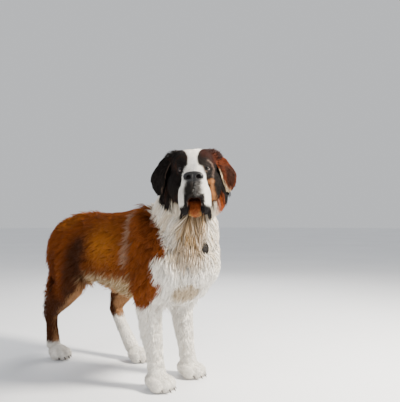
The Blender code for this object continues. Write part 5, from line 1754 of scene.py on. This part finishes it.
        def measure(roots: Roots) -> tuple[np.ndarray, np.ndarray, np.ndarray]:
            """Length, width and rise on the tail."""
            depth = np.clip(coat.depth(roots, coat.tail_tips), 0.010, 0.048)
            length = (0.020 + 2.4 * depth) * (0.75 + 0.5 * roots.draw[:, 1])
            room = np.clip((roots.at[:, 2] - 0.075) / 1.15, 0.012, None)
            return (np.minimum(length, room), 0.0034 + 0.03 * depth,
                    depth * (0.5 + 0.55 * roots.draw[:, 2]))

        coat.grow("tail_coat", coat.area * self.tail, 4500, 40, coat.lie.body, measure,
                  self.body_colour, 5, cling=0.5, locks=150, pull=0.5)

    def grow_head(self) -> None:
        """The short fur of the face, longer on cheeks and nape."""
        coat = self.coat
        local = HEAD.to_head(coat.middle)
        socket = np.ones(len(local))
        for side in Side:
            at, way = HEAD.eye(side)
            far = np.linalg.norm(local - np.array(at + way * 0.011), axis=1)
            socket *= far > 0.0135
        inside = (np.abs(local[:, 0]) < 0.033) & (local[:, 2] < -0.104) & (local[:, 1] > -0.094)
        chin = (np.abs(local[:, 0]) < 0.0285) & (local[:, 2] < -0.114)
        nose = np.linalg.norm((local - np.array((0, -0.118, -0.045)))
                              / np.array((0.034, 0.034, 0.021)), axis=1) > 1.0
        open_skin = self.head * socket * nose * (~inside | chin)

        def colour(at: np.ndarray, roots: Roots) -> np.ndarray:
            """Colours of tufts on the head."""
            local = HEAD.to_head(at) + (roots.draw[:, 3:6] - 0.5) * 0.004
            return coat.markings.head(local, roots.draw[:, 5])

        def measure(roots: Roots) -> tuple[np.ndarray, np.ndarray, np.ndarray]:
            """Length, width and rise of the face's short fur."""
            at = HEAD.to_head(roots.at)
            back = smooth_step(-0.02, 0.07, at[:, 1])
            beard = smooth_step(0.030, 0.027, np.abs(at[:, 0])) * smooth_step(-0.112, -0.120, at[:, 2])
            even = np.abs(at) * (1, 0, 0) + at * (0, 1, 1)
            crown = blob(even, (0.066, 0.072, 0.068), (0.036, 0.060, 0.032))
            vary = 0.7 + 0.6 * roots.draw[:, 1]
            length = (0.0075 + 0.012 * back + 0.010 * beard + 0.018 * crown) * vary
            rise = (0.0014 + 0.0030 * back + 0.0045 * beard + 0.008 * crown) * vary
            return length, 0.0015 + 0.0010 * np.maximum(back, beard), rise

        dense = 1.0 + 1.6 * smooth_step(0.04, -0.03, local[:, 1])
        coat.grow("face_fur", coat.area * open_skin * dense, 20000, 60, coat.lie.head, measure,
                  colour, 3, cling=0.95, locks=0, thick=0.5, lift=(0.7, 1.0, 1.1))

        def long_measure(roots: Roots) -> tuple[np.ndarray, np.ndarray, np.ndarray]:
            """Length, width and rise of the cheeks' hair."""
            vary = 0.7 + 0.6 * roots.draw[:, 1]
            return 0.064 * vary, np.full(len(vary), 0.0034), 0.020 * vary

        even = np.abs(local) * (1, 0, 0) + local * (0, 1, 1)
        cheek = blob(even, (0.088, 0.084, -0.078), (0.036, 0.052, 0.054))
        nape = smooth_step(0.11, 0.14, local[:, 1]) * 0.8
        under = blob(even, (0.068, 0.056, -0.128), (0.022, 0.050, 0.030))
        place = np.max([cheek, nape, under], axis=0)
        coat.grow("cheek_hair", coat.area * self.head * place, 4600, 70,
                  coat.lie.head, long_measure, colour, 4, cling=0.20, locks=110, pull=0.5)

    def grow_ears(self) -> None:
        """The fur of the ears, longer at their edges."""
        coat = self.coat

        def colour(at: np.ndarray, roots: Roots) -> np.ndarray:
            """Colours of tufts on the ears."""
            local = HEAD.to_head(at) + (roots.draw[:, 3:6] - 0.5) * 0.006
            return coat.markings.ear(local, inner_side(HEAD.to_head(roots.at), roots.out))

        def measure(roots: Roots) -> tuple[np.ndarray, np.ndarray, np.ndarray]:
            """Length, width and rise on the ears."""
            vary = 0.7 + 0.6 * roots.draw[:, 1]
            at = HEAD.to_head(roots.at)
            root = blob(np.abs(at) * (1, 0, 0) + at * (0, 1, 1), (0.082, 0.072, 0.068),
                        (0.028, 0.060, 0.030))
            length = (0.024 + 0.010 * root) * vary
            return length, np.full(len(at), 0.0026), (0.0030 + 0.004 * root) * vary

        coat.grow("ear_fur", coat.area * self.ear, 5000, 80, coat.lie.ear, measure, colour, 4,
                  cling=0.9, locks=120, pull=0.4)

    def grow_all(self) -> None:
        """Every zone's coat."""
        for grow in (self.grow_trunk, self.grow_ruff, self.grow_legs, self.grow_paws,
                     self.grow_tail, self.grow_head, self.grow_ears):
            grow()


def principled(name: str, colour: Triple, roughness: float, metallic: float = 0.0,
               coat: float = 0.0) -> bpy.types.Material:
    """A material with one Principled shader.

    Args:
        name: Its name.
        colour: Its base colour.
        roughness: Its roughness.
        metallic: 1 for metal.
        coat: Weight of a clear coat over it.

    Returns:
        The material.
    """
    made = bpy.data.materials.new(name)
    made.use_nodes = True
    shader = made.node_tree.nodes["Principled BSDF"]
    shader.inputs["Base Color"].default_value = (*colour, 1)
    shader.inputs["Roughness"].default_value = roughness
    shader.inputs["Metallic"].default_value = metallic
    shader.inputs["Coat Weight"].default_value = coat
    shader.inputs["Coat Roughness"].default_value = 0.05
    return made


def noisy(made: bpy.types.Material, light: Triple, dark: Triple, scale: float, bump: float,
          distance: float, cells: bool = False) -> bpy.types.Material:
    """Gives a material a mottled colour and a fine relief.

    Args:
        made: The material.
        light: Its light colour.
        dark: Its dark colour.
        scale: How fine the pattern is.
        bump: How strong the relief is.
        distance: How high it is.
        cells: Whether the relief is pebbled instead of cloudy.

    Returns:
        The material.
    """
    nodes, links = made.node_tree.nodes, made.node_tree.links
    shader = nodes["Principled BSDF"]
    coord = nodes.new("ShaderNodeTexCoord")
    noise = nodes.new("ShaderNodeTexNoise")
    noise.inputs["Scale"].default_value = scale * 0.25
    noise.inputs["Detail"].default_value = 5
    links.new(coord.outputs["Object"], noise.inputs["Vector"])
    ramp = nodes.new("ShaderNodeValToRGB")
    ramp.color_ramp.elements[0].position = 0.32
    ramp.color_ramp.elements[0].color = (*dark, 1)
    ramp.color_ramp.elements[1].position = 0.70
    ramp.color_ramp.elements[1].color = (*light, 1)
    links.new(noise.outputs["Fac"], ramp.inputs["Fac"])
    links.new(ramp.outputs["Color"], shader.inputs["Base Color"])
    relief = nodes.new("ShaderNodeTexVoronoi" if cells else "ShaderNodeTexNoise")
    relief.inputs["Scale"].default_value = scale
    links.new(coord.outputs["Object"], relief.inputs["Vector"])
    height = nodes.new("ShaderNodeBump")
    height.inputs["Strength"].default_value = bump
    height.inputs["Distance"].default_value = distance
    links.new(relief.outputs["Distance" if cells else "Fac"], height.inputs["Height"])
    links.new(height.outputs["Normal"], shader.inputs["Normal"])
    return made


def dress(obj: bpy.types.Object, material: bpy.types.Material) -> None:
    """Gives all faces of an object one material."""
    obj.data.materials.clear()
    obj.data.materials.append(material)
    obj.data.polygons.foreach_set("material_index", np.zeros(len(obj.data.polygons), np.int32))


def place_piece(obj: bpy.types.Object, slot: str, *nodes: str) -> None:
    """Moves a finished piece onto the frame, in place of these nodes."""
    settle(obj)
    smooth_shade(obj)
    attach(obj, BODY)
    if nodes:
        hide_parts(*nodes)
    LOG.info("%s: %d faces", obj.name, len(obj.data.polygons))


def clean_normals(obj: bpy.types.Object) -> None:
    """Merges doubles and points an object's faces outwards."""
    mesh = bmesh.new()
    mesh.from_mesh(obj.data)
    bmesh.ops.remove_doubles(mesh, verts=mesh.verts, dist=1e-6)
    bmesh.ops.recalc_face_normals(mesh, faces=mesh.faces)
    mesh.to_mesh(obj.data)
    mesh.free()


@dataclass
class Eye:
    """An eye with its pupil, iris and the haw that shows over the lower lid."""

    side: Side
    radius: float = 0.0112
    pupil: float = 24.0
    iris: float = 46.0
    cornea: float = 0.0009

    def build(self) -> None:
        """Builds the eyeball and its two lids."""
        at, way = HEAD.eye(self.side)
        bpy.ops.object.select_all(action="DESELECT")
        bpy.ops.mesh.primitive_uv_sphere_add(segments=56, ring_count=40, radius=self.radius)
        ball = bpy.context.object
        ball.name = f"eyeball_{self.side.word}"
        local = points_of(ball)
        angle = np.degrees(np.arccos(np.clip(local[:, 2] / self.radius, -1, 1)))
        bulge = smooth_step(42, 0, angle) * self.cornea
        set_points(ball, local * (1 + bulge / self.radius)[:, None])
        turn = (-way).to_track_quat("-Z", "Y").to_matrix().to_4x4()
        ball.data.transform(Matrix.Translation(at) @ turn)
        at_head = points_of(ball)
        ball.data.transform(HEAD.matrix())
        self.paint(ball, angle, at_head - np.array(at))
        dress(ball, self.finish())
        place_piece(ball, "eye", f"eye_{self.side.word}")
        self.lids(at, way)

    def paint(self, ball: bpy.types.Object, angle: np.ndarray, local: np.ndarray) -> None:
        """Gives the eyeball its colours.

        Args:
            ball: The eyeball.
            angle: How far each point lies from the pupil's middle, in degrees.
            local: The points about the eye's middle, in head space.
        """
        spokes = 0.5 + 0.5 * np.sin(np.arctan2(local[:, 2], local[:, 0]) * 23)
        white = np.array((0.40, 0.33, 0.29))
        iris = np.array((0.020, 0.007, 0.0025)) * (0.6 + 0.9 * spokes)[:, None]
        col = np.where((angle < self.iris)[:, None], iris, white)
        rim = smooth_step(self.iris - 7, self.iris - 1, angle) * (angle < self.iris + 2)
        col = col * (1 - 0.85 * rim)[:, None]
        col = np.where((angle < self.pupil)[:, None], np.array((0.002, 0.002, 0.002)), col)
        # The right eye's haw is painted brighter than the left, as painted light on a haw that sits in shade.
        low, pale = {Side.LEFT: (-0.0052, 0.40), Side.RIGHT: (-0.0034, 0.85)}[self.side]
        haw = smooth_step(low, low - 0.0014, local[:, 2])[:, None]
        col = col * (1 - haw) + np.array((1.0, 0.76, 0.66)) * pale * haw
        layer = ball.data.color_attributes.new(COAT_COLOUR, "FLOAT_COLOR", "POINT")
        layer.data.foreach_set("color", np.hstack([col, np.ones((len(col), 1))]).ravel())

    @staticmethod
    def finish() -> bpy.types.Material:
        """The wet gloss over the eye's colours."""
        made = principled("wet_eye", (0.02, 0.01, 0.005), 0.08, coat=0.10)
        nodes, links = made.node_tree.nodes, made.node_tree.links
        nodes["Principled BSDF"].inputs["Specular IOR Level"].default_value = 0.30
        colour = nodes.new("ShaderNodeAttribute")
        colour.attribute_name = COAT_COLOUR
        links.new(colour.outputs["Color"], nodes["Principled BSDF"].inputs["Base Color"])
        return made

    def lids(self, at: Vector, way: Vector) -> None:
        """Builds the rim of the lids, the lower one sagging.

        Args:
            at: Middle of the eye, in head space.
            way: Where it looks.
        """
        across = way.cross(Vector((0, 0, 1))).normalized()
        over = across.cross(way).normalized()
        count, sides = 48, 10
        loops = []
        for i in range(count):
            a = 2 * math.pi * i / count
            c, s = math.cos(a), math.sin(a)
            wide = 0.0108 * c
            tall = (0.0050 if s > 0 else 0.0068) * s - 0.0010 * c * self.side.value
            reach = self.radius + 0.0008
            deep = math.sqrt(max(reach ** 2 - wide ** 2 - tall ** 2, 1e-9))
            middle = at + across * wide + over * tall + way * deep
            outward = (across * wide + over * tall + way * deep).normalized()
            flat = (across * c + over * s)
            flat = (flat - outward * flat.dot(outward)).normalized()
            broad, high = (0.0024, 0.0014) if s > 0 else (0.0020, 0.0015)
            loop = []
            for k in range(sides):
                b = 2 * math.pi * k / sides
                loop.append(np.array(middle + flat * (broad * math.cos(b) + broad * 0.55)
                                     + outward * high * math.sin(b)))
            loops.append(loop)
        mesh = bmesh.new()
        rows = [[mesh.verts.new(p) for p in loop] for loop in loops]
        for a, b in zip(rows, rows[1:] + rows[:1]):
            for k in range(sides):
                n = (k + 1) % sides
                mesh.faces.new((a[k], a[n], b[n], b[k]))
        rim = object_of(f"eyelids_{self.side.word}", mesh, HEAD.matrix())
        dress(rim, noisy(principled("lid_skin", (0.02, 0.015, 0.014), 0.42),
                         (0.030, 0.020, 0.018), (0.010, 0.008, 0.008), 1800, 0.5, 0.0004))
        place_piece(rim, "dark_coat")


@dataclass
class Nose:
    """The nose pad with its nostrils, in head space."""

    at: Triple = (0.0, -0.108, -0.045)
    wide: float = 0.033
    tall: float = 0.0205
    rings: tuple[tuple[float, float], ...] = (
        (0.022, 0.70), (0.006, 0.96), (-0.006, 1.0), (-0.012, 0.93), (-0.016, 0.80),
        (-0.019, 0.55))
    voxel: float = 0.0010

    def build(self) -> None:
        """Builds the pad, opens the nostrils and draws the groove between them."""
        mesh = bmesh.new()
        loops = []
        a = 2 * math.pi * np.arange(64) / 64
        for along, scale in self.rings:
            x = self.wide * scale * np.cos(a) * (1 + 0.16 * np.sin(a))
            z = self.tall * scale * np.sin(a)
            loops.append(np.array(self.at) + np.stack([x, np.full(64, along), z], axis=1))
        bridge(mesh, loops)
        nose = object_of("nose_pad", mesh)
        fuse(nose, self.voxel, 3)
        cuts = []
        for side in Side:
            for place, reach in (((0.0155, -0.018, -0.0010), (0.0078, 0.015, 0.0080)),
                                 ((0.0230, -0.016, -0.0050), (0.0090, 0.012, 0.0034))):
                hole = bmesh.new()
                where = Matrix.Translation(Vector(self.at) + Vector(
                    (place[0] * side.value, place[1], place[2])))
                bmesh.ops.create_icosphere(hole, subdivisions=4, radius=1,
                                           matrix=where @ Matrix.Diagonal((*reach, 1)))
                cuts.append(object_of("nostril", hole))
        join(nose, cuts, "DIFFERENCE")
        fuse(nose, self.voxel, 2)
        groove = Stroke(((0, self.at[1] - 0.018, self.at[2] + 0.006),
                         (0, self.at[1] - 0.016, self.at[2] - 0.020)), 0.0020, -0.0024)
        set_points(nose, groove.move(points_of(nose), normals_of(nose)))
        nose.data.transform(HEAD.matrix())
        leather = principled("nose_leather", (0.012, 0.012, 0.013), 0.42, coat=0.12)
        shader = leather.node_tree.nodes["Principled BSDF"]
        shader.inputs["Coat Roughness"].default_value = 0.25
        shader.inputs["Specular IOR Level"].default_value = 0.28
        dress(nose, noisy(leather, (0.020, 0.019, 0.020), (0.006, 0.006, 0.006), 760, 0.55,
                          0.0007, cells=True))
        place_piece(nose, "nose_leather", "nose")


@dataclass
class Claws:
    """The claws of all paws, each curved down to just over the floor."""

    length: float = 0.021
    root: float = 0.0043
    tip: float = 0.0009
    stations: int = 7
    sides: int = 12

    def build(self) -> None:
        """Builds the claws of each paw as one piece a paw."""
        horn = noisy(principled("claw_horn", (0.03, 0.025, 0.02), 0.35, coat=0.3),
                     (0.075, 0.060, 0.048), (0.018, 0.014, 0.012), 900, 0.3, 0.0003)
        for name, at, size in BUILD.paw_places():
            mesh = bmesh.new()
            for across, ahead in BUILD.toes:
                start = Vector((at.x + across * size, at.y + (ahead - 0.027) * size,
                                0.0185 * size))
                loops = []
                for i in range(self.stations):
                    t = i / (self.stations - 1)
                    bend = 0.35 + 0.85 * t
                    centre = start + Vector((0, -math.sin(1.25 * t) / 1.25,
                                             -(1 - math.cos(1.15 * t)) / 1.15)) * self.length * size
                    radius = (self.root * (1 - t) ** 0.8 + self.tip) * size
                    up = Vector((0, -math.sin(bend), math.cos(bend)))
                    loop = []
                    for k in range(self.sides):
                        a = 2 * math.pi * k / self.sides
                        loop.append(np.array(centre + Vector((1, 0, 0)) * radius * 0.75
                                             * math.cos(a) + up * radius * math.sin(a)))
                    loops.append(loop)
                bridge(mesh, loops)
            claws = object_of(f"claws_{name}", mesh)
            points = points_of(claws)
            points[:, 2] = np.maximum(points[:, 2], 0.0006)
            set_points(claws, points)
            dress(claws, horn)
            place_piece(claws, "nose_leather")


@dataclass
class Collar:
    """The collar round the neck, its tag and the ring that hangs it."""

    at: Triple = (-0.012, -0.365, 0.706)
    way: Triple = (-0.05, -0.60, 0.80)
    wide: float = 0.025
    thick: float = 0.0045
    around: int = 96

    def build(self, tree: BVHTree) -> None:
        """Builds the band close round the skin.

        Args:
            tree: Search tree of the skin.
        """
        where = Vector(self.way).to_track_quat("Z", "X").to_matrix()
        up = where @ Vector((0, 0, 1))
        radii = []
        for i in range(self.around):
            a = 2 * math.pi * i / self.around
            out = where @ Vector((math.cos(a), math.sin(a), 0))
            reach = []
            for shift in (-0.4, 0.0, 0.4):
                start = Vector(self.at) + up * self.wide * shift + out * 0.25
                hit = tree.ray_cast(start, -out, 0.25)
                reach.append(0.25 - hit[3] if hit[3] is not None else 0.09)
            radii.append(max(reach))
        radii = np.array(radii)
        for _ in range(4):
            radii = (np.roll(radii, 1) + 2 * radii + np.roll(radii, -1)) / 4
        profile = ((-1.0, 0.1), (-0.97, 0.7), (-0.9, 1.0), (-0.72, 1.0), (-0.66, 0.86),
                   (-0.6, 1.0), (0.6, 1.0), (0.66, 0.86), (0.72, 1.0), (0.9, 1.0), (0.97, 0.7),
                   (1.0, 0.1), (0.9, 0.0), (-0.9, 0.0))
        mesh = bmesh.new()
        rows = []
        for i in range(self.around):
            a = 2 * math.pi * i / self.around
            out = where @ Vector((math.cos(a), math.sin(a), 0))
            rows.append([mesh.verts.new(Vector(self.at) + up * self.wide / 2 * h
                                        + out * (radii[i] + 0.0010 + self.thick * d))
                         for h, d in profile])
        sides = len(profile)
        for a, b in zip(rows, rows[1:] + rows[:1]):
            for k in range(sides):
                n = (k + 1) % sides
                mesh.faces.new((a[k], a[n], b[n], b[k]))
        band = object_of("collar_band", mesh)
        dress(band, noisy(principled("collar_leather", (0.10, 0.06, 0.04), 0.55),
                          (0.130, 0.075, 0.048), (0.060, 0.034, 0.022), 520, 0.5, 0.0006))
        place_piece(band, "collar_leather", "collar")

    @staticmethod
    def tag_frame() -> tuple[np.ndarray, np.ndarray]:
        """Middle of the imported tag, in the dog's measures, and its axes, longest first."""
        points = points_of(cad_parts["tag"])
        middle = (points.min(axis=0) + points.max(axis=0)) / 2
        _, _, axes = np.linalg.svd(points - points.mean(axis=0), full_matrices=False)
        if axes[0][2] < 0:
            axes[0] *= -1
        if axes[2][1] > 0:
            axes[2] *= -1
        return middle - np.array(SHIFT), axes

    def build_tag(self) -> None:
        """Builds the bare oval tag with its raised rim, and gives the imported ring the same metal."""
        middle, (up, across, out) = self.tag_frame()
        tall, wide = 0.043, 0.032
        steps = 64
        levels = ((1.0, -0.9), (1.0, 0.9), (0.97, 1.15), (0.90, 1.15), (0.86, 0.7), (0.30, 0.7))
        mesh = bmesh.new()
        loops = []
        for share, rise in (*((s, -r) for s, r in reversed(levels[1:])), *levels[1:]):
            a = 2 * math.pi * np.arange(steps) / steps
            loops.append(middle + np.outer(np.cos(a) * wide / 2 * share, across)
                         + np.outer(np.sin(a) * tall / 2 * share, up) + out * rise * 0.0011)
        bridge(mesh, loops)
        tag = object_of("tag_plate", mesh)
        clean_normals(tag)
        hole_at = middle + up * (tall / 2 - 0.0066)
        hole = bmesh.new()
        turn = Vector(out).to_track_quat("Z", "X").to_matrix().to_4x4()
        bmesh.ops.create_cone(hole, cap_ends=True, segments=32, radius1=0.0038, radius2=0.0038,
                              depth=0.01, matrix=Matrix.Translation(hole_at) @ turn)
        join(tag, [object_of("hole", hole)], "DIFFERENCE")
        metal = noisy(principled("worn_metal", (0.10, 0.095, 0.09), 0.40, metallic=1.0),
                      (0.045, 0.040, 0.036), (0.014, 0.012, 0.011), 600, 0.25, 0.0003)
        dress(tag, metal)
        place_piece(tag, "tag_metal", "tag")
        ring_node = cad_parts["tag_ring"]
        dress(ring_node, metal)


@dataclass
class Stage:
    """The floor, the soft lights and the camera."""

    camera_at: Triple = (-1.582, -1.830, 0.707)
    azimuth: float = 48.4
    pitch: float = 1.71
    lens: float = 46.0
    sensor: float = 36.0

    def build(self) -> None:
        """Sets the floor, lights, world and camera."""
        bpy.ops.object.select_all(action="DESELECT")
        bpy.ops.mesh.primitive_circle_add(vertices=96, radius=30, fill_type="NGON")
        floor = bpy.context.object
        floor.name = "floor"
        floor.data.materials.append(noisy(principled("pale_floor", (0.86, 0.87, 0.89), 0.85),
                                          (0.90, 0.91, 0.93), (0.85, 0.86, 0.88), 3, 0.05, 0.001))
        world = bpy.data.worlds.new("pale_backdrop")
        world.use_nodes = True
        back = world.node_tree.nodes["Background"]
        back.inputs["Color"].default_value = (0.92, 0.94, 0.97, 1)
        back.inputs["Strength"].default_value = 0.72
        bpy.context.scene.world = world
        right = Vector((math.cos(math.radians(self.azimuth)),
                        -math.sin(math.radians(self.azimuth)), 0))
        ahead = Vector((math.sin(math.radians(self.azimuth)),
                        math.cos(math.radians(self.azimuth)), 0))
        for name, place, size, power, colour in (
                ("key", right * 2.6 - ahead * 0.8 + Vector((0, 0, 2.4)), 0.8, 400,
                 (1.0, 0.94, 0.84)),
                ("fill", -right * 2.6 - ahead * 2.2 + Vector((0, 0, 1.5)), 1.2, 24,
                 (0.94, 0.96, 1.0)),
                ("back", ahead * 2.6 + right * 0.5 + Vector((0, 0, 2.6)), 1.8, 70,
                 (1.0, 0.98, 0.95))):
            data = bpy.data.lights.new(name, "AREA")
            data.shape, data.size, data.energy, data.color = "DISK", size, power, colour
            lamp = bpy.data.objects.new(name, data)
            lamp.location = place
            lamp.rotation_euler = (Vector((0, 0, 0.5)) - place).to_track_quat("-Z", "Y").to_euler()
            bpy.context.scene.collection.objects.link(lamp)
        data = bpy.data.cameras.new("camera")
        data.lens, data.sensor_width = self.lens, self.sensor
        camera = bpy.data.objects.new("camera", data)
        camera.location = Vector(self.camera_at) + SHIFT
        camera.rotation_euler = Euler((math.radians(90 + self.pitch), 0,
                                       -math.radians(self.azimuth)), "XYZ")
        bpy.context.scene.collection.objects.link(camera)
        bpy.context.scene.camera = camera


def main() -> None:
    """Builds the dog's looks in order."""
    logging.basicConfig(level=logging.INFO, format="%(name)s: %(message)s")
    markings = Markings(Palette())
    finish = CoatFinish()
    skin = Skin()
    skin.build(markings, finish)
    LOG.info("skin: %d triangles", len(skin.obj.data.loop_triangles))
    coat = Coat(skin, markings, Lie(), finish)
    middle, axes = Collar.tag_frame()
    Zones(coat, middle, axes[2]).grow_all()
    collar = Collar()
    collar.build(coat.tree)
    collar.build_tag()
    skin.finish()
    for side in Side:
        Eye(side).build()
    Nose().build()
    Claws().build()
    Stage().build()
    LOG.info("all pieces stand")


if __name__ == "__main__":
    main()
